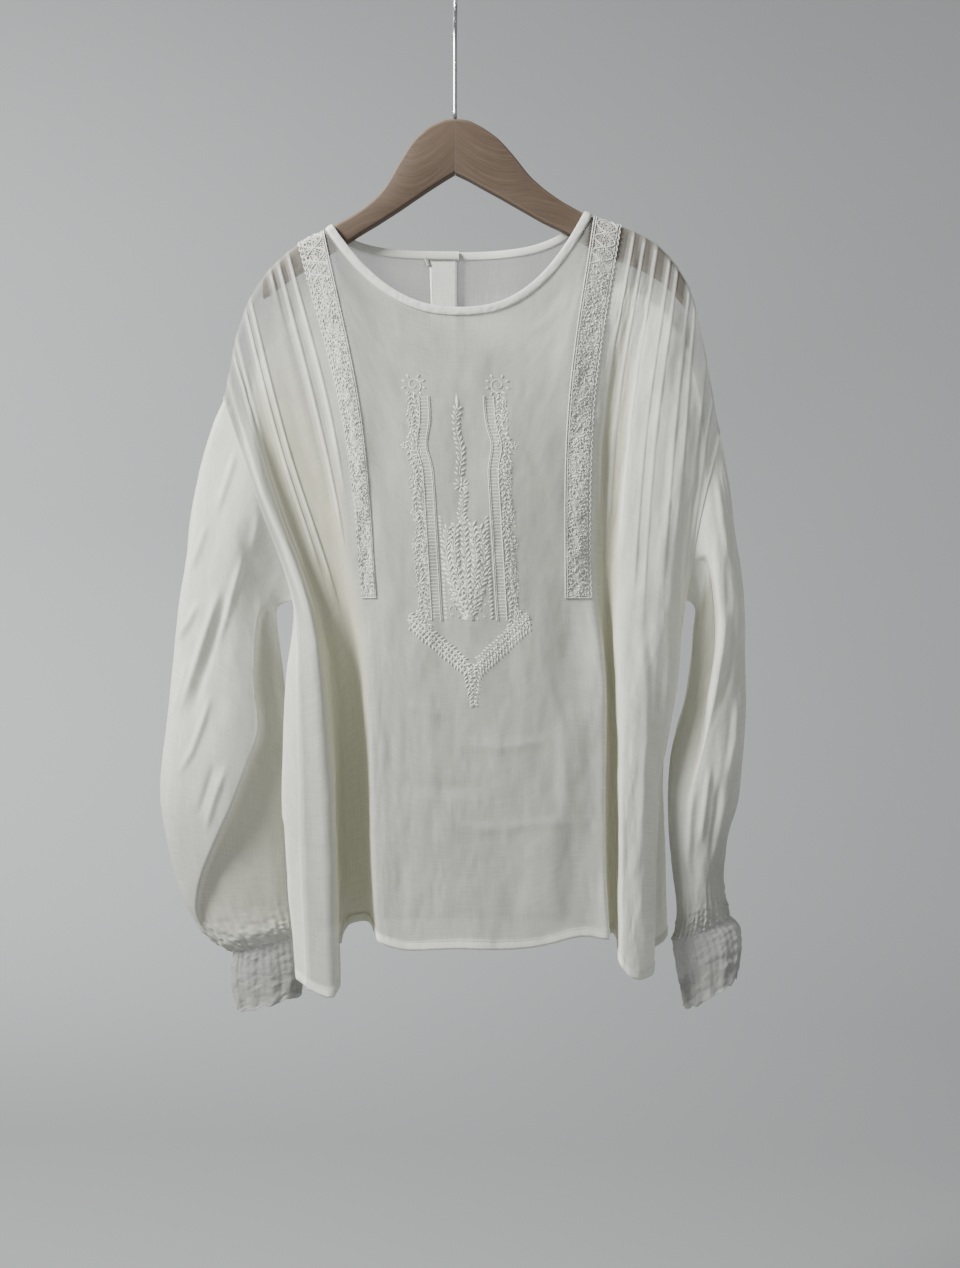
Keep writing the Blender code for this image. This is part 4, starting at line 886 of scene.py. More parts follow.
def binding_sheet(panel, first, last):
    """Grid round the rolled binding of a neck edge between two of a panel's places."""
    places = np.linspace(first, last, 200)
    share, _ = panel.neck_share(places)
    foot = panel.at(places, panel.top(places))
    lip_x, lip_z = neck_point(panel.neck, share, 0.0)
    drop = np.maximum(shoulder_line(panel.neck, lip_x) - lip_z, 0.0)
    depth = panel.stations(places)[1][:, 0]
    lip = joined(lip_x, panel.face * SEAM_GAP / 2 + depth * roll(drop), lip_z)
    lip += foot - Panel.at(panel, places, foot[:, 2])
    way = lip - foot
    normals = unit(np.cross(way, np.gradient(lip + foot, axis=0)))
    normals *= np.where(normals @ (0.0, panel.face, 0.2) < 0.0, -1.0, 1.0)[:, None]
    grid = []
    for angle in np.linspace(0.0, TURN, 18, endpoint=False):
        across = 0.5 - 0.5 * math.cos(angle)
        high = math.copysign(abs(math.sin(angle)) ** 0.75, math.sin(angle))
        puff = BINDING_PUFF * high + (0.6 if high > 0 else -0.3)
        pucker = crumple(91, places * 22.0, across * 3.0) * 0.35 * max(high, 0.0)
        grid.append(foot + way * across + normals * (puff + pucker)[:, None])
    return np.stack(grid)


class Value:
    """A socket that can stand in sums; each sum adds a Math node."""

    def __init__(self, finish, socket):
        self.finish = finish
        self.socket = socket

    def __add__(self, other):
        return self.finish.maths("ADD", self, other)

    def __sub__(self, other):
        return self.finish.maths("SUBTRACT", self, other)

    def __rsub__(self, other):
        return self.finish.maths("SUBTRACT", other, self)

    def __mul__(self, other):
        return self.finish.maths("MULTIPLY", self, other)

    __radd__ = __add__
    __rmul__ = __mul__


def shaded(colour, share):
    return tuple(min(part * share, 1.0) for part in colour)


class Finish:
    """A material under construction."""

    def __init__(self, name):
        self.material = bpy.data.materials.new(name)
        self.material.use_nodes = True
        self.tree = self.material.node_tree
        self.tree.nodes.clear()

    def node(self, kind, settings=None, sockets=None, out=0):
        """The output of a new node with its settings, and values or links for its sockets."""
        made = self.tree.nodes.new(kind)
        for name, value in (settings or {}).items():
            setattr(made, name, value)
        for name, value in (sockets or {}).items():
            socket = made.inputs[name]
            if isinstance(value, Value):
                self.tree.links.new(value.socket, socket)
            elif isinstance(value, tuple) and socket.type == "RGBA":
                socket.default_value = (*value, 1.0)
            else:
                socket.default_value = value
        return Value(self, made.outputs[out]) if made.outputs else None

    def maths(self, operation, first, second=0.0):
        return self.node("ShaderNodeMath", {"operation": operation}, {0: first, 1: second})

    def vector(self, operation, first, second):
        return self.node("ShaderNodeVectorMath", {"operation": operation}, {0: first, 1: second})

    def mixed(self, share, first, second, blend="MIX"):
        """Two colours mixed."""
        return self.node(
            "ShaderNodeMix", {"data_type": "RGBA", "blend_type": blend, "clamp_factor": True},
            {0: share, 6: first, 7: second}, out=2)

    def attribute(self, name, out="Fac"):
        return self.node("ShaderNodeAttribute", {"attribute_name": name}, out=out)

    def cut(self, across, down):
        """Place on the flat cloth, across and down it, in units of this many millimetres."""
        flat = self.attribute("cut", "Vector")
        return self.vector("MULTIPLY", flat, (1.0 / (across * MM), 1.0 / (down * MM), 1.0))

    def noise(self, place, detail=2.0, rough=0.5):
        return self.node(
            "ShaderNodeTexNoise", None,
            {"Vector": place, "Scale": 1.0, "Detail": detail, "Roughness": rough})

    def range(self, value, low, high, to_low=0.0, to_high=1.0):
        return self.node(
            "ShaderNodeMapRange", {"interpolation_type": "SMOOTHSTEP"},
            {"Value": value, "From Min": low, "From Max": high,
             "To Min": to_low, "To Max": to_high})

    def bump(self, height, distance, strength):
        return self.node(
            "ShaderNodeBump", None,
            {"Height": height, "Distance": distance * MM, "Strength": strength})

    def principled(self, sockets):
        return self.node("ShaderNodeBsdfPrincipled", None, sockets)

    def mix_shader(self, share, first, second):
        return self.node("ShaderNodeMixShader", None, {0: share, 1: first, 2: second})

    def sheer(self, solid, glow, sockets):
        """The material, of cloth that some light comes through, and open where not solid."""
        cloth = self.principled(sockets)
        lit = {"Color": sockets["Base Color"], "Normal": sockets["Normal"]}
        body = self.mix_shader(glow, cloth, self.node("ShaderNodeBsdfTranslucent", None, lit))
        hole = self.node("ShaderNodeBsdfTransparent", None, {"Color": (1.0, 1.0, 1.0)})
        return self.finished(self.mix_shader(solid, hole, body))

    def finished(self, shader):
        self.node("ShaderNodeOutputMaterial", None, {"Surface": shader})
        return self.material


def threads_of(finish, pitch):
    """Slubs of a plain weave both ways, and its fine grid, from 0 to 1."""
    down = finish.noise(finish.cut(0.8 * pitch, 26.0))
    across = finish.noise(finish.cut(30.0, 0.8 * pitch))
    flat = finish.attribute("cut", "Vector")
    warp, weft = (
        finish.maths(
            "SINE", finish.node("ShaderNodeSeparateXYZ", None, {0: flat}, out=axis)
            * (TURN / (pitch * MM))) for axis in ("X", "Y"))
    return down * 0.5 + across * 0.5, warp * weft * 0.5 + 0.5


def woven(name, colour, painted_shade_colour, glow, pitch, crinkle=0.0):
    """Thin plain-woven cloth that lets some light through.

    How solid it looks, and how much painted shade it gets, come with its points. Cloth of one layer
    is painted darker, and painted shade turns it towards painted_shade_colour.
    """
    finish = Finish(name)
    slubs, grid = threads_of(finish, pitch)
    patches = finish.noise(finish.cut(22.0, 30.0), 4.0, 0.6)
    solid = finish.attribute("solid")
    # Painted shade: cloth of one layer is darkened to THIN_SHADE of its colour, rising to its full
    # colour where it is backed.
    lit = finish.mixed(
        finish.range(solid, CLOTH_SOLID, THICK_SOLID), shaded(colour, THIN_SHADE), colour)
    lit = finish.mixed(finish.range(patches, 0.3, 0.7), lit, (0.93, 0.93, 0.93), "MULTIPLY")
    # Painted shade: darker and duller where the cloth lies deep in a fold or in shadow.
    lit = finish.mixed(finish.attribute("painted_shade"), lit, painted_shade_colour)
    lit = finish.mixed(finish.range(slubs, 0.66, 0.34), lit, (0.87, 0.87, 0.86), "MULTIPLY")
    folded = finish.range(solid, THICK_SOLID, FOLDED_SOLID, 0.0, 0.7)
    lit = finish.mixed(folded, lit, shaded(colour, 1.08))
    height = slubs * 0.7 + grid * 0.3
    if crinkle:
        height = height + finish.noise(finish.cut(3.2, 5.0), 3.0) * crinkle
    open_yarn = solid + (slubs - 0.5) * 0.30 + (grid - 0.5) * 0.06
    return finish.sheer(finish.maths("MINIMUM", open_yarn, 1.0), glow, {
        "Base Color": lit, "Roughness": finish.range(slubs, 0.3, 0.7, 0.95, 0.82),
        "Normal": finish.bump(height, 0.28, 0.8), "Sheen Weight": 0.12,
        "Sheen Roughness": 0.6, "Specular IOR Level": 0.25})


def lace_ground(name, colour):
    """Lace: a net of small holes at its top, and close stitches lower down."""
    finish = Finish(name)
    edges = finish.node(
        "ShaderNodeTexVoronoi", {"feature": "DISTANCE_TO_EDGE"},
        {"Vector": finish.cut(1.9, 1.9), "Scale": 1.0, "Randomness": 0.55}, out="Distance")
    wall = finish.range(edges, 0.10, 0.24, 1.0, 0.0)
    crumb = finish.noise(finish.cut(1.3, 1.9), 3.0)
    filled = finish.maths("MAXIMUM", wall, 0.93 - finish.attribute("net") * 0.85)
    lit = finish.mixed(finish.range(crumb, 0.35, 0.65), shaded(colour, 0.93), colour)
    return finish.sheer(filled, 0.25, {
        "Base Color": lit, "Roughness": 0.85, "Sheen Weight": 0.1,
        "Normal": finish.bump(crumb + wall * 0.5, 0.5, 0.9)})


def thread(name, colour):
    """Stranded white embroidery cotton, a little brighter than the cloth."""
    finish = Finish(name)
    twist = finish.noise(finish.cut(0.28, 1.6))
    lit = finish.mixed(finish.range(twist, 0.3, 0.7), shaded(colour, 0.9), colour)
    return finish.finished(finish.principled(
        {"Base Color": lit, "Roughness": finish.range(twist, 0.3, 0.7, 0.7, 0.55),
         "Normal": finish.bump(twist, 0.16, 0.8), "Sheen Weight": 0.15,
         "Specular IOR Level": 0.35}))


def planed_wood(name, pale, dark):
    """Matt grey-brown wood with a fine straight grain along the arm."""
    finish = Finish(name)
    streaks = finish.noise(finish.cut(70.0, 1.5), 4.0, 0.6)
    pores = finish.noise(finish.cut(14.0, 0.45))
    wide = finish.noise(finish.cut(120.0, 9.0))
    lit = finish.mixed(finish.range(streaks, 0.32, 0.70), dark, pale)
    lit = finish.mixed(finish.range(wide, 0.35, 0.7) * 0.35, lit, shaded(dark, 0.8))
    # Painted highlight: the eased edges are made paler.
    lit = finish.mixed(finish.attribute("painted_edge_highlight") * 0.5, lit, shaded(pale, 1.5))
    pore = finish.range(pores, 0.28, 0.40, 1.0, 0.0)
    lit = finish.mixed(pore * 0.4, lit, shaded(dark, 0.5))
    return finish.finished(finish.principled(
        {"Base Color": lit, "Roughness": finish.range(streaks, 0.3, 0.7, 0.52, 0.66),
         "Normal": finish.bump(streaks * 0.6 - pore * 0.5, 0.2, 0.7),
         "Specular IOR Level": 0.3}))


def clouded(name, scale, first, second, rough, sockets, relief=None):
    """A plain finish with a faint noise in its colour, its roughness and its relief."""
    finish = Finish(name)
    place = finish.vector("MULTIPLY", finish.node("ShaderNodeTexCoord", out="Object"), scale)
    cloud = finish.noise(place, 2.0 if relief else 3.0)
    sockets = {"Base Color": finish.mixed(cloud, first, second), **sockets}
    if rough:
        sockets["Roughness"] = finish.range(cloud, 0.3, 0.7, *rough)
    if relief:
        sockets["Normal"] = finish.bump(cloud, *relief)
    return finish.finished(finish.principled(sockets))


def add_mesh(name, points, faces, finish, attributes, node=None, smooth=None):
    """A mesh object from points in millimetres, smooth unless an angle is given."""
    mesh = bpy.data.meshes.new(name)
    mesh.from_pydata((np.asarray(points, float) * MM).tolist(), [], faces)
    mesh.shade_smooth()
    if smooth is not None:
        mesh.set_sharp_from_angle(angle=math.radians(smooth))
    for title, values in attributes.items():
        values = np.asarray(values, float)
        kind, key = ("FLOAT_VECTOR", "vector") if values.ndim == 2 else ("FLOAT", "value")
        layer = mesh.attributes.new(title, kind, "POINT")
        layer.data.foreach_set(key, values.ravel())
    mesh.materials.append(finish)
    made = bpy.data.objects.new(name, mesh)
    bpy.context.scene.collection.objects.link(made)
    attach(made, "root")
    if node:
        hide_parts(node)
    return made


def grid_faces(columns, rows, round_it=False, closed_rows=False, flip=False):
    """Quads of a grid, closed round its columns or its rows if asked."""
    faces = []
    for c in range(columns if round_it else columns - 1):
        for r in range(rows if closed_rows else rows - 1):
            beyond, under = (c + 1) % columns, (r + 1) % rows
            ring = (c * rows + r, beyond * rows + r, beyond * rows + under, c * rows + under)
            faces.append(ring[::-1] if flip else ring)
    return faces


def flat_measures(points):
    """Places on the flat cloth of a grid's points, in metres, across and down."""
    across = np.linalg.norm(np.diff(points, axis=0), axis=2).mean(axis=1)
    down = np.linalg.norm(np.diff(points, axis=1), axis=2).mean(axis=0)
    u, v = (np.concatenate([[0.0], np.cumsum(steps)]) for steps in (across, down))
    return joined(u[:, None], v, 0.0).reshape(-1, 3) * MM


def add_cloth(name, node, slot, finish, points, solid=1.0, painted_shade=0.0, capped=False, **closing):
    """A piece of cloth from its grid of points, how solid it looks and how much painted shade it
    gets.
    """
    columns, rows = points.shape[:2]
    attributes = {"cut": flat_measures(points)}
    for title, values in (("solid", solid), ("painted_shade", painted_shade)):
        attributes[title] = np.broadcast_to(values, (columns, rows)).ravel()
    faces = grid_faces(columns, rows, **closing)
    if capped:
        faces.append([c * rows for c in range(columns)])
        faces.append([c * rows + rows - 1 for c in range(columns)][::-1])
    return add_mesh(name, points.reshape(-1, 3), faces, finish, attributes, node)


front = FrontPanel()
back_left = BackPanel(BACK_LEFT, 31)
back_right = BackPanel(BACK_RIGHT, 41)

linen = woven("blouse_linen", (0.80, 0.81, 0.745), (0.62, 0.61, 0.475), 0.30, 0.75)
trim = woven("folded_linen", (0.73, 0.735, 0.69), (0.70, 0.69, 0.60), 0.15, 0.7, 0.5)
# The cuffs' linen has painted shade: a darker colour than the blouse's, and a grey colour for its
# shade.
painted_shade_cuff_linen = woven("gathered_linen_painted_shade", (0.70, 0.705, 0.67), (0.36, 0.365, 0.345), 0.20, 0.75)
net_lace = lace_ground("lace_net", (0.67, 0.675, 0.63))
cotton = thread("embroidery_cotton", (0.68, 0.685, 0.64))
wood = planed_wood("planed_wood", (0.108, 0.077, 0.055), (0.080, 0.056, 0.038))
steel = clouded(
    "steel_wire", (900.0, 900.0, 60.0), (0.36, 0.365, 0.37), (0.50, 0.505, 0.51),
    (0.20, 0.34), {"Metallic": 1.0}, (0.03, 0.5))
shell = clouded(
    "shell_button", (240.0, 240.0, 240.0), (0.76, 0.75, 0.70), (0.84, 0.83, 0.79),
    (0.28, 0.42), {"Coat Weight": 0.2})

# Front, back halves.
shares = panel_shares(218)
points, front_places, solid = front.sheet(2.3, 0.62, shares)
# Painted shade in the front's two long side folds, by how deep they lie.
painted_shade = front.recess_shade_mask(front_places, shares)
painted_shade = np.concatenate([painted_shade, np.repeat(painted_shade[:, -1:], 4, axis=1)], axis=1)
add_cloth("blouse_front", "front_panel", "cloth", linen, points, solid, painted_shade)
for panel, side in ((back_left, "left"), (back_right, "right")):
    points, _, solid = panel.sheet(3.2, 1.0, panel_shares(150))
    add_cloth(f"blouse_back_{side}", f"back_{side}", "cloth", linen, points, solid, flip=True)

# Sleeves and cuffs.
for side, table, cuff_table, edges, seed, cuff_seed in (
        ("left", SLEEVE_LEFT, CUFF_LEFT, ((front, 0), (back_left, 0)), 3, 70),
        ("right", SLEEVE_RIGHT, CUFF_RIGHT,
         ((front, front.last), (back_right, back_right.last)), 4, 80)):
    points, behind, solid = sleeve_sheet(side, table, edges, seed)
    # The folded-back part of each sleeve gets painted shade.
    add_cloth(
        f"sleeve_cloth_{side}", f"sleeve_{side}", "cloth", linen, points, solid,
        behind * SLEEVE_SHADE, round_it=True)
    rings = (table[-1]._replace(fold_at=1.0), *cuff_table)
    # Each cuff gets painted shade, the left one most.
    add_cloth(
        f"cuff_cloth_{side}", f"cuff_{side}", "trim", painted_shade_cuff_linen, cuff_sheet(rings, cuff_seed),
        CUFF_SOLID, CUFF_SHADE[side], round_it=True)

# Neck bindings.
for node, name, panel, first, last in (
        ("neck_binding_front", "front_binding", front, "lace_left_inner", "lace_right_inner"),
        ("neck_binding_back_left", "back_binding_left", back_left, "neck_left", "centre"),
        ("neck_binding_back_right", "back_binding_right", back_right, "centre", "neck_right")):
    points = binding_sheet(panel, panel.place(first), panel.place(last))
    add_cloth(name, node, "trim", trim, points, capped=True, round_it=True)


class Stitches:
    """Raised stitches drawn flat, as across, down and lift, and then laid on the cloth."""

    def __init__(self, seed):
        self.flat = []
        self.cuts = []
        self.faces = []
        self.count = 0
        self.chance = np.random.RandomState(seed)

    def ribbon(self, line, half, high, ridge=0.0):
        """A rounded ribbon of thread along a line of points, half and high at each."""
        line = np.asarray(line, float)
        along = unit(np.gradient(line, axis=0))
        side = joined(along[:, 1], -along[:, 0])
        half, high, run = np.broadcast_arrays(half, high, run_along(line))
        for share in (-1.0, ridge, 1.0):
            spots = line + side * (half * share)[:, None]
            lift = high * math.sqrt(1.0 - share * share) - THREAD_SINK
            self.flat.append(np.column_stack([spots, lift]))
            self.cuts.append(joined(half * share, run, 0.0))
        for face in grid_faces(3, len(line), flip=True):
            self.faces.append(tuple(self.count + corner for corner in face))
        self.count += 3 * len(line)

    def cord(self, line, width=1.0, high=0.9):
        self.ribbon(line, width / 2, high)

    def leaf(self, place, angle, length, width, high=1.25):
        """A satin-stitched leaf from its foot, angle counted from straight down."""
        share = np.linspace(0.0, 1.0, 6)
        way = np.array([math.sin(angle), math.cos(angle)])
        bend = np.array([way[1], -way[0]]) * length * 0.10 * self.chance.uniform(-1.0, 1.0)
        line = np.asarray(place) + np.outer(share * length, way)
        line += np.outer(np.sin(math.pi * share), bend)
        full = np.sin(math.pi * np.clip(share, 0.04, 0.97)) ** 0.75
        self.ribbon(line, width / 2 * full, high * full, -0.1)

    def knot(self, place, size, high=0.9):
        share = np.linspace(-0.5, 0.5, 4)
        full = np.sqrt(np.maximum(1.0 - (share * 1.9) ** 2, 0.05))
        line = np.asarray(place) + np.outer(share * size, (0.0, 1.0))
        self.ribbon(line, size / 2 * full, high * full)

    def flower(self, place, radius, petals):
        start = self.chance.uniform(0.0, 1.0)
        for k in range(petals):
            angle = TURN * (k + start) / petals
            foot = np.asarray(place) + radius * 0.2 * np.array([math.sin(angle), math.cos(angle)])
            self.leaf(foot, angle, radius * 0.85, radius * 1.75 / petals + 0.5, 0.9)
        self.knot(place, radius * 0.42, 1.2)

    def sprig(self, line, every, length, width, spread):
        """Leaves in uneven pairs up both sides of a stem."""
        self.cord(line, 0.9, 0.6)
        run = run_along(line)
        along = np.gradient(line, axis=0)
        heading = np.unwrap(np.arctan2(along[:, 0], along[:, 1]))
        for spot in np.arange(0.0, run[-1], every):
            place, angle = read_at(spot, run, line), np.interp(spot, run, heading)
            for side in (-1.0, 1.0):
                turn = angle + side * (spread + self.chance.uniform(-0.16, 0.16))
                size = length * self.chance.uniform(0.82, 1.12)
                self.leaf(place, turn, size, width * self.chance.uniform(0.85, 1.1))

    def seeds(self, low, high, count, length):
        """Short loose stitches scattered in a box of across and down."""
        for _ in range(count):
            place = [self.chance.uniform(low[i], high[i]) for i in (0, 1)]
            self.leaf(place, self.chance.uniform(-1.0, 1.0), length, 1.1, 0.9)

    def lay(self, name, lay_on):
        """One mesh of all the stitches, laid on the cloth by a function."""
        points = lay_on(*np.concatenate(self.flat).T)
        cuts = np.concatenate(self.cuts) * MM
        add_mesh(name, points, self.faces, cotton, {"cut": cuts})


def bib_side(stitches, side):
    """One side of the bib: a ladder with a leafy vine outside it, and an arm of the point."""
    down = np.linspace(BAND_TOP, BAND_END, 120)
    wave = BAND_SWING * hill(down - BAND_SWING_AT, 15.0)
    middle = side * (BAND_OUT + wave)
    for off in (-1.0, -0.72, 1.0):
        stitches.cord(joined(middle + side * off * BAND_HALF, down), 1.0, 1.0)
    for k in range(int((BAND_END - BAND_TOP) / RUNG_STEP)):
        spot = BAND_TOP + 1.5 + k * RUNG_STEP
        run = np.linspace(-0.72, 1.0, 4) * BAND_HALF
        stitches.cord(joined(np.interp(spot, down, middle) + side * run, spot), 1.0, 0.55)
    at = np.linspace(BAND_TOP - 4.0, BAND_END + 4.0, 110)
    out = side * (VINE_OUT + np.interp(at, down, wave) + 1.8 * np.sin(at / 7.5))
    stitches.sprig(joined(out, at), 4.3, 5.6, 1.9, 0.95)
    for k in range(7):
        spot = BAND_TOP + 16.0 + 30.0 * k
        x = side * (VINE_OUT + 5.2 + np.interp(spot, down, wave) + 1.5 * math.sin(spot / 7.5))
        stitches.flower((x, spot), 3.4, 5)
    edges = sorted((side * (BAND_OUT + BAND_HALF + 1.0), side * (VINE_OUT + 6.5)))
    stitches.seeds((edges[0], BAND_TOP), (edges[1], BAND_END), 420, 3.4)
    inner = side * (BAND_OUT - BAND_HALF - 2.0)
    for k in range(26):
        stitches.leaf((inner, 120.0 + 3.6 * k), -side * 0.9, 4.6, 1.5)
    ring = np.array([side * 38.0, 1.0])
    turn = np.linspace(0.4, side * -7.6, 34)
    size = 7.2 * (1.0 - 0.75 * np.linspace(0.0, 1.0, 34))
    stitches.cord(ring + joined(size * np.sin(turn), size * np.cos(turn)), 1.1, 0.8)
    for k in range(9):
        angle = -2.6 + 0.65 * k
        foot = ring + (7.4 * math.sin(angle), 7.4 * math.cos(angle))
        stitches.leaf(foot, angle, 4.4, 1.7)
    line = joined(side * np.linspace(53.0, 5.0, 30), np.linspace(214.0, 256.0, 30))
    for shift in (-5.5, 0.0, 5.5):
        stitches.sprig(line + (0.0, shift), 3.6, 4.9, 1.8, 1.0)
    stitches.flower((side * 50.0, 214.0), 5.5, 7)
    stitches.flower((side * 37.0, 222.0), 4.2, 6)


def bib(stitches):
    """The white bib: two sides, a spray up the middle, and a pointed tail."""
    for side in (-1.0, 1.0):
        bib_side(stitches, side)
    stitches.leaf((0.0, 24.0), math.pi, 15.0, 3.4)
    stem = np.linspace(22.0, 84.0, 40)
    stitches.sprig(joined(1.6 * np.sin(stem / 8.0), stem)[::-1], 4.6, 6.2, 1.9, 0.8)
    stitches.flower((0.0, 92.0), 7.5, 9)
    stem = np.linspace(98.0, 128.0, 20)
    stitches.sprig(joined(1.2 * np.sin(stem / 7.0), stem)[::-1], 4.0, 5.4, 1.8, 0.9)
    stitches.flower((1.0, 124.0), 5.0, 6)
    share = np.linspace(0.0, 1.0, 26)
    for lean in (-1.0, -0.55, 0.0, 0.55, 1.0):
        x = lean * 17.0 * np.sin(share * 2.2)
        stitches.sprig(joined(x, 214.0 - 84.0 * share), 4.7, 6.8, 2.2, 0.75)
    for x, at, size in ((-9.0, 150.0, 4.6), (10.0, 158.0, 4.6), (-3.0, 178.0, 5.4),
                        (12.0, 190.0, 4.2), (-12.0, 194.0, 4.2), (2.0, 206.0, 5.0)):
        stitches.flower((x, at), size, 6)
    stitches.seeds((-18.0, 134.0), (18.0, 212.0), 120, 3.2)
    share = np.linspace(0.0, 1.0, 14)
    for x in (-6.0, 0.0, 6.0):
        stitches.sprig(joined(x * (1.0 - share), 252.0 + 36.0 * share), 3.6, 5.4, 1.8, 0.8)
    stitches.flower((0.0, 259.0), 5.0, 7)
    stitches.leaf((0.0, 284.0), 0.0, 7.0, 2.4)


def lay_on_chest(across, down, lift):
    """Points of the bib on the front, from across its middle line and down from its top."""
    z = BIB_Z - down
    low, high = front.place("lace_left_inner"), front.place("lace_right_inner")
    return front.finished(front.find(BIB_X + BIB_LEAN * down + across, z, low, high), z, lift)[0]


def lace_threads(stitches, length):
    """Thread work of a lace strip: its edges, a winding vine, flowers and leaves.

    Across runs from 0 at the outer edge to LACE_WIDTH at the neck side.
    """
    down = np.linspace(0.5, length, 220)
    for across in (LACE_WIDTH - 0.6, LACE_WIDTH - 2.6):
        stitches.cord(joined(across, down), 1.0, 0.8)
    at = np.linspace(0.5, length, 520)
    stitches.cord(joined(1.7 - 1.6 * np.abs(np.sin(math.pi * at / SCALLOP)), at), 0.9, 0.7)
    stitches.cord(joined(3.4, down), 0.7, 0.6)
    middle = LACE_WIDTH * 0.5
    vine = np.linspace(VINE_START, length - 3.0, 300)
    swing = middle + VINE_SWING * np.sin(TURN * vine / VINE_TURN)
    stitches.sprig(joined(swing, vine), 5.0, 4.6, 1.8, 0.9)
    for k in range(int((length - VINE_START) / VINE_TURN * 2.0)):
        spot = VINE_START + VINE_TURN * (0.25 + 0.5 * k)
        side = 1.0 if k % 2 else -1.0
        stitches.flower((middle + side * VINE_SWING * 0.35, spot), 4.1, 6)
        stitches.leaf((middle + side * VINE_SWING * 1.3, spot - 4.0), side * 0.6, 5.0, 1.9)
    for across in (5.6, LACE_WIDTH - 5.2):
        stitches.sprig(joined(across + 0.9 * np.sin(TURN * vine / 11.0), vine), 4.2, 3.4, 1.5, 1.0)
    stitches.seeds((4.0, VINE_START), (LACE_WIDTH - 4.0, length - 3.0), 520, 2.7)
    net = np.linspace(1.0, VINE_START, 60)
    for phase in (0.0, 0.5):
        wave = middle + LACE_WIDTH * 0.36 * np.sin(TURN * (net / 26.0 + phase))
        stitches.cord(joined(wave, net), 1.5, 0.8)
    for k in range(3):
        stitches.flower((middle, 13.0 + 13.0 * k + 0.5), 3.6, 6)
    for inset, up, width, high in ((0.6, 0.6, 1.0, 0.8), (1.6, 2.6, 0.8, 0.7)):
        far = LACE_WIDTH if inset < 1.0 else LACE_WIDTH - 2
        ends = [(inset, length - up), (middle, length - up + 0.1), (far, length - up)]
        stitches.cord(ends, width, high)


def lace_strip(side, outer, inner, seed):
    """A strip of lace from the shoulder to the chest, between two places of the front."""
    columns, rows = 26, 210
    share = np.linspace(0.0, 1.0, columns)[:, None]
    place = outer + (inner - outer) * share
    top = front.top(place[:, 0])[:, None]
    z = top + (LACE_END_Z - top) * np.linspace(0.003, 1.0, rows)
    wave = 0.06 * np.abs(np.sin(math.pi * (z - top) / SCALLOP)) - 0.03
    places = place + (outer - inner) * wave * np.clip(1.0 - share * 8.0, 0.0, 1.0)
    net = soft_step((NET_LENGTH + 8.0 - (top - z)) / 16.0)
    crumb = crumple(seed, share * 13.0, z / -2.6)
    coarse = crumple(seed + 1, share * 6.0, z / -6.0)
    lift = LACE_LIFT + (crumb * 0.30 + coarse * 0.45) * (1.0 - 0.7 * net)
    rim = soft_step(share * 14.0) * soft_step((1.0 - share) * 14.0)
    lift = 0.15 + (lift - 0.15) * (0.25 + 0.75 * rim)
    points = front.finished(places.ravel(), z.ravel(), lift.ravel())[0]
    cuts = flat_measures(points.reshape(columns, rows, 3))
    add_mesh(
        f"lace_ground_{side}", points, grid_faces(columns, rows, flip=inner < outer), net_lace,
        {"cut": cuts, "net": net.ravel()}, f"lace_strip_{side}")
    stitches = Stitches(seed)
    length = float(np.mean(top) - LACE_END_Z)
    lace_threads(stitches, length)

    def lay_on_strip(across, fallen, lift):
        spot = outer + (inner - outer) * np.clip(across / LACE_WIDTH, -0.02, 1.02)
        tops = front.top(spot)
        height = tops + (LACE_END_Z - tops) * np.clip(fallen / length, 0.0, 1.0)
        return front.finished(spot, height, lift + LACE_LIFT)[0]

    stitches.lay(f"lace_threads_{side}", lay_on_strip)


work = Stitches(5)
bib(work)
work.lay("bib_embroidery", lay_on_chest)
for side, outer, inner, seed in (
        ("left", ("lace_left_outer", 0.08), ("lace_left_outer", 0.96), 61),
        ("right", ("lace_right_inner", 0.94), ("lace_right_inner", 0.04), 65)):
    lace_strip(side, front.place(*outer), front.place(*inner), seed)


def stitch_rows(name, lines):
    """Rows of running stitches along lines of points with their normals, as one mesh."""
    points, faces, cuts = [], [], []
    for line, normals in lines:
        run = run_along(line)
        for start in np.arange(1.0, run[-1] - STITCH_LONG, STITCH_EVERY):
            spots = start + np.linspace(0.0, STITCH_LONG, 4)
            path, out = read_at(spots, run, line), unit(read_at(spots, run, normals))
            side = unit(np.cross(np.gradient(path, axis=0), out)) * STITCH_THICK / 2
            high = np.array([0.0, 1.0, 1.0, 0.0])[:, None] * out * STITCH_THICK * 0.8
            for face in grid_faces(3, 4, flip=True):
                faces.append(tuple(len(points) + corner for corner in face))
            for part in (path - side, path + high, path + side):
                points.extend(part)
            cuts.extend([[k * 0.4, j * 0.6, 0.0] for k in range(3) for j in range(4)])
    add_mesh(name, points, faces, cotton, {"cut": np.array(cuts) * MM})


def panel_line(panel, places, heights, lift):
    """A line on a panel's finished cloth, with its normals."""
    points, normals = panel.finished(*np.broadcast_arrays(places, heights), lift)
    return points, normals * math.copysign(1.0, lift)


def tube_faces(rings, sides, flip):
    """Quads round a row of rings, with a flat cap at each end."""
    faces = grid_faces(rings, sides, closed_rows=True, flip=flip)
    first, last = tuple(range(sides)), tuple(range((rings - 1) * sides, rings * sides))
    return faces + ([first[::-1], last] if flip else [first, last[::-1]])


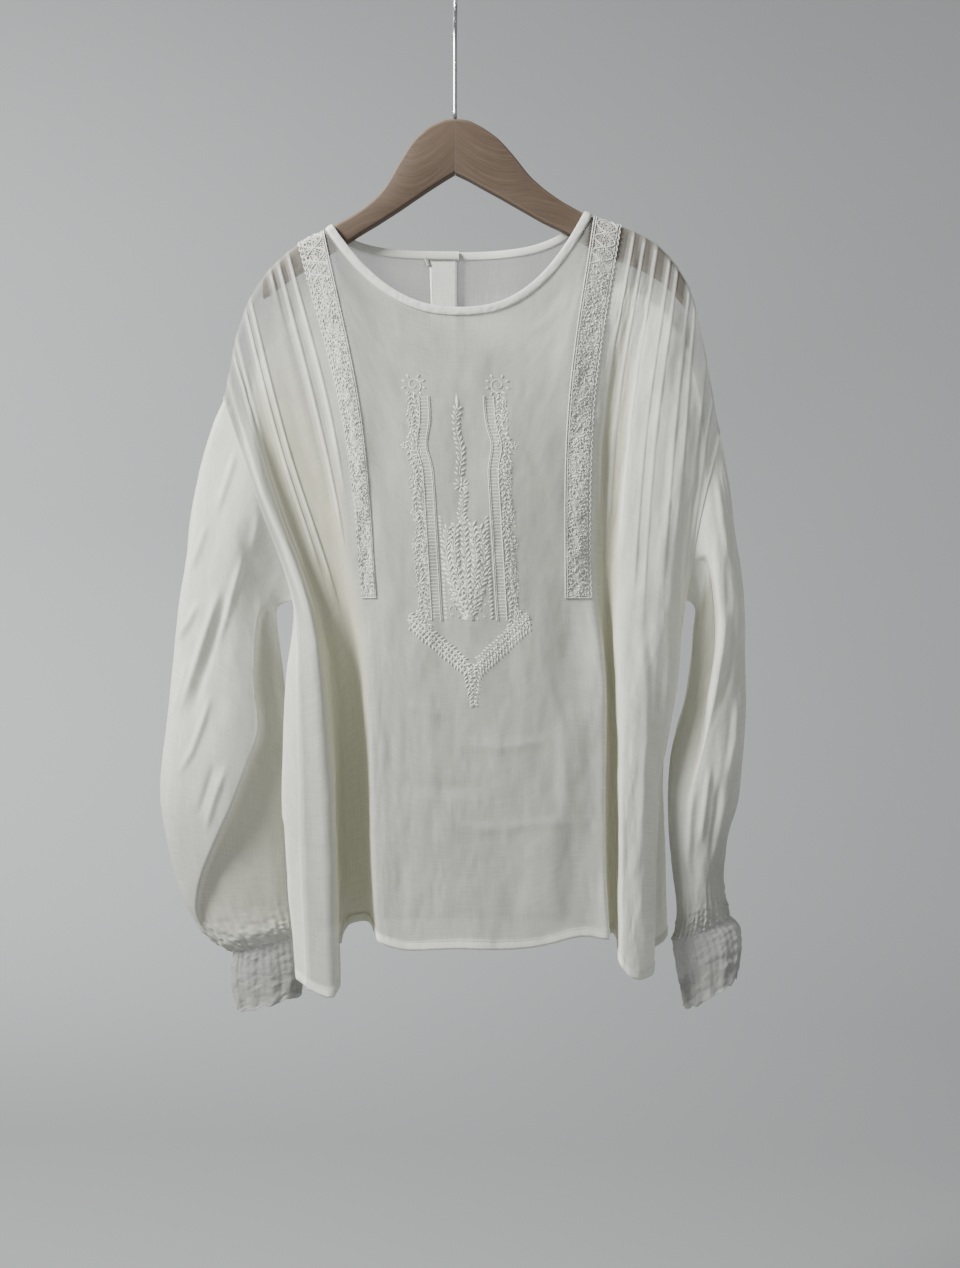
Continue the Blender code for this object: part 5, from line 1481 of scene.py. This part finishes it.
def hanger_arm(side, table):
    """Half of the hanger: one flat board with eased edges, mitred at the middle."""
    sign = -1.0 if side == "left" else 1.0
    spots, tops, bottoms = np.array(sorted(table, key=lambda row: row[0]), float).T
    known = ~np.isnan(tops)
    x = np.linspace(sign * SEAM_GAP / 2, table[-1][0], 120)
    places = np.linspace(0.0, front.last, 900)
    bare = ~front.neck_share(places)[1]
    edge_x, _, edge_z, _ = front.stations(places)
    order = np.argsort(edge_x[bare, 0])
    slope = np.interp(x, edge_x[bare, 0][order], edge_z[bare, 0][order])
    neck_x = FRONT_NECK.right_x if sign > 0 else FRONT_NECK.left_x
    inside = np.abs(x) <= abs(neck_x) + BINDING_WIDTH
    slope = np.where(inside, shoulder_line(FRONT_NECK, x), slope)
    under = slope - HANGER_CLEAR - HANGER_UNDER * np.hypot(1.0, np.gradient(slope, x))
    curve = np.interp(x, spots[known], tops[known])
    top = np.where(np.abs(x) <= np.abs(spots[known]).max(), curve, under)
    bottom = np.interp(x, spots, bottoms) - HANGER_HEEL * soft_step((np.abs(x) - 95.0) / 60.0)
    for _ in range(8):
        top[1:-1] = np.minimum((top[:-2] + 2 * top[1:-1] + top[2:]) / 4, top[1:-1] + 0.3)
        bottom[1:-1] = (bottom[:-2] + 2 * bottom[1:-1] + bottom[2:]) / 4
    eases = np.minimum(HANGER_TOP_EASE, 0.4 * (top - bottom)), np.minimum(
        HANGER_LOW_EASE, 0.3 * (top - bottom))
    profile = []
    for n, (across, up) in enumerate(((1, 1), (1, -1), (-1, -1), (-1, 1))):
        size, edge = (eases[0], top) if up > 0 else (eases[1], bottom)
        for turn in np.linspace(0.0, math.pi / 2, 5):
            first, second = math.sin(turn), math.cos(turn)
            if n % 2:
                first, second = second, first
            y = across * (HANGER_THICK / 2 - size * (1.0 - first))
            profile.append(joined(x, y, edge - up * size * (1.0 - second)))
    rings = np.stack(profile, axis=1)
    run = run_along(joined(x, (top + bottom) / 2))
    cuts = joined(run[:, None], [run_along(ring[:, 1:]) for ring in rings], 0.0) * MM
    # The eased edges of the profile, which get a painted highlight.
    painted_edge_highlight = np.tile([0.0, 1.0, 1.0, 1.0, 0.0], 4 * len(x))
    add_mesh(
        f"hanger_board_{side}", rings.reshape(-1, 3), tube_faces(len(x), 20, sign < 0), wood,
        {"cut": cuts.reshape(-1, 3), "painted_edge_highlight": painted_edge_highlight}, f"hanger_arm_{side}", 40.0)


def hook():
    """The hook: a straight stem, an easy bend and a turn over the top, with a domed tip."""
    reach = HOOK_INNER + HOOK_WIRE / 2
    start, end = math.radians(HOOK_START), math.radians(HOOK_END)
    turns = np.linspace(start, end, 80)
    bow = joined(reach * np.cos(turns), HOOK_WIRE / 2 - reach + reach * np.sin(turns))
    lead = bow[0] + 11.0 * np.array([math.sin(start), -math.cos(start)])
    stem = joined(0.0, np.linspace(PEAK_Z + SEAM_GAP, HOOK_STEM_TOP, 12))
    t = np.linspace(0.0, 1.0, 18)[1:-1, None]
    bend = (1 - t) ** 3 * stem[-1] + 3 * t * (1 - t) ** 2 * (stem[-1] + (0.0, 9.0))
    bend += 3 * t * t * (1 - t) * lead + t ** 3 * bow[0]
    route = np.concatenate([stem, bend, bow])
    along = unit(np.gradient(route, axis=0))
    route = np.concatenate([route, route[-1] + np.outer((0.5, 0.9, 1.3, 1.5), along[-1])])
    along = np.concatenate([along, np.repeat(along[-1:], 4, axis=0)])
    radius = np.full(len(route), HOOK_WIRE / 2)
    radius[-4:] *= (0.96, 0.85, 0.62, 0.3)
    turns = np.linspace(0.0, TURN, 20, endpoint=False)
    out, over = np.outer(radius, np.cos(turns)), np.outer(radius, np.sin(turns))
    rings = joined(over, route[:, :1] - along[:, 1:] * out, route[:, 1:] + along[:, :1] * out)
    faces = tube_faces(len(route), 20, True)
    add_mesh("hook_wire", rings.reshape(-1, 3), faces, steel, {}, "hanger_hook")


def placket(columns=14, rows=110):
    """The flat closed strip down the slit, under the lap."""
    first = back_left.place("back_fold_2", 0.995 - PLACKET_WIDTH / 50.0)
    places = np.linspace(first, back_left.last, columns)
    top = back_left.top(places)[:, None] - 1.2
    z = (top + (LAP_HEIGHTS[2] - top) * np.linspace(0.0, 1.0, rows)).ravel()
    flat = np.repeat(places, rows)
    pucker = crumple(95, flat * 20.0, z / 4.0) * 0.12
    rim = np.minimum(np.arange(columns), np.arange(columns)[::-1])
    high = -0.3 - np.repeat(soft_step((rim + 0.4) / 1.4), rows)
    outer, inner = (
        back_left.finished(flat, z, lift)[0].reshape(columns, rows, 3)
        for lift in (high + pucker, -0.3))
    points = np.concatenate([outer, inner[::-1]])
    add_cloth("slit_placket", "back_placket", "trim", trim, points, capped=True, round_it=True)


hanger_arm("left", ARM_LEFT)
hanger_arm("right", ARM_RIGHT)
hook()
placket()
for slot in bpy.data.objects["neck_button"].material_slots:
    slot.material = shell

# Running stitches of the hems, the side seams, the bindings and the placket.
seams = []
for panel, edges in (
        (front, (0.03, front.last - 0.03)), (back_left, (0.03,)),
        (back_right, (back_right.last - 0.03,))):
    places = np.linspace(0.02, panel.last - 0.02, 500)
    seams.append(panel_line(panel, places, panel.hem(places) + HEM_DEPTH - 0.8, 0.55))
    for edge in edges:
        heights = np.linspace(ARM_Z - 6.0, panel.hem(np.array([edge]))[0] + 4.0, 160)
        seams.append(panel_line(panel, edge, heights, 0.6))
for panel, low, high in (
        (front, front.place("lace_left_inner", 0.2), front.place("lace_right_inner", -0.2)),
        (back_left, back_left.place("neck_left", 0.2), back_left.last - 0.05),
        (back_right, 0.05, back_right.place("neck_right", -0.2))):
    places = np.linspace(low, high, 300)
    seams.append(panel_line(panel, places, panel.top(places) - 1.1, 0.2))
for edge in (0.535 + 6.03, back_left.last - 0.06):
    heights = np.linspace(-262.0, LAP_HEIGHTS[2] + 3.0, 120)
    seams.append(panel_line(back_left, edge, heights, -1.35))
stitch_rows("running_stitches", seams)

loop = Stitches(9)
for shift in (-0.9, 0.0, 0.9):
    loop.cord([(-27.4 + shift, 261.0), (-26.0 + shift, 264.5), (-24.6 + shift, 268.0)], 1.1, 1.4)


def lay_on_placket(across, down, lift):
    low, high = back_left.place("back_fold_2"), float(back_left.last)
    place = back_left.find(across, -down, low, high)
    return back_left.finished(place, -down, -1.3 - lift)[0]


loop.lay("thread_bar", lay_on_placket)


def floor_dish():
    """A pale floor that curves up far away all round, so no edge of it shows."""
    bends = np.radians(7.0 * np.arange(1, 13))
    radii = [0.0, 1.2, 2.2, *(2.2 + 2.6 * np.sin(bends)), 5.0]
    heights = np.array([0.0, 0.0, 0.0, *(2.6 * (1.0 - np.cos(bends))), 5.2])[:, None]
    turns = np.linspace(0.0, TURN, 96, endpoint=False)
    points = joined(
        np.outer(radii, np.cos(turns)), np.outer(radii, np.sin(turns)), FLOOR_Z * MM + heights)
    mesh = bpy.data.meshes.new("studio_floor")
    faces = grid_faces(len(radii), 96, closed_rows=True, flip=True)
    mesh.from_pydata(points.reshape(-1, 3).tolist(), [], faces)
    mesh.shade_smooth()
    mesh.materials.append(clouded(
        "pale_floor", (1.3, 1.3, 1.3), shaded(FLOOR_COLOUR, 0.96), FLOOR_COLOUR, None,
        {"Roughness": 0.9}))
    made = bpy.data.objects.new("studio_floor", mesh)
    bpy.context.scene.collection.objects.link(made)


def area_light(name, place, aim, size, power, colour):
    lamp = bpy.data.lights.new(name, "AREA")
    lamp.shape = "DISK"
    lamp.size = size
    lamp.energy = power
    lamp.color = colour
    made = bpy.data.objects.new(name, lamp)
    made.location = place
    way = Vector(aim) - Vector(place)
    made.rotation_euler = way.to_track_quat("-Z", "Y").to_euler()
    bpy.context.scene.collection.objects.link(made)


def studio():
    floor_dish()
    area_light("window", (-1.85, -0.95, 0.85), (0.1, 0.0, -0.2), 0.9, 216.0, (1.0, 0.985, 0.96))
    area_light("bounce", (2.6, -2.4, 0.6), (0.0, 0.0, -0.4), 2.4, 18.0, (0.94, 0.97, 1.0))
    area_light("back_fill", (-0.9, 3.1, 1.6), (0.0, 0.0, -0.6), 2.4, 40.0, (1.0, 1.0, 1.0))
    area_light("wall_wash", (-1.6, 1.6, 0.9), (-1.4, 4.6, 0.6), 1.6, 150.0, (1.0, 1.0, 0.99))
    world = bpy.data.worlds.new("studio_air")
    world.use_nodes = True
    world.node_tree.nodes["Background"].inputs["Color"].default_value = (0.93, 0.96, 1.0, 1.0)
    world.node_tree.nodes["Background"].inputs["Strength"].default_value = 0.385
    bpy.context.scene.world = world
    camera = bpy.data.cameras.new("photo_camera")
    camera.lens = CAMERA_LENS
    camera.sensor_width = 36.0
    made = bpy.data.objects.new("photo_camera", camera)
    made.location = Vector(CAMERA) * MM
    made.rotation_euler = (math.radians(90.0), 0.0, 0.0)
    bpy.context.scene.collection.objects.link(made)
    bpy.context.scene.camera = made


studio()
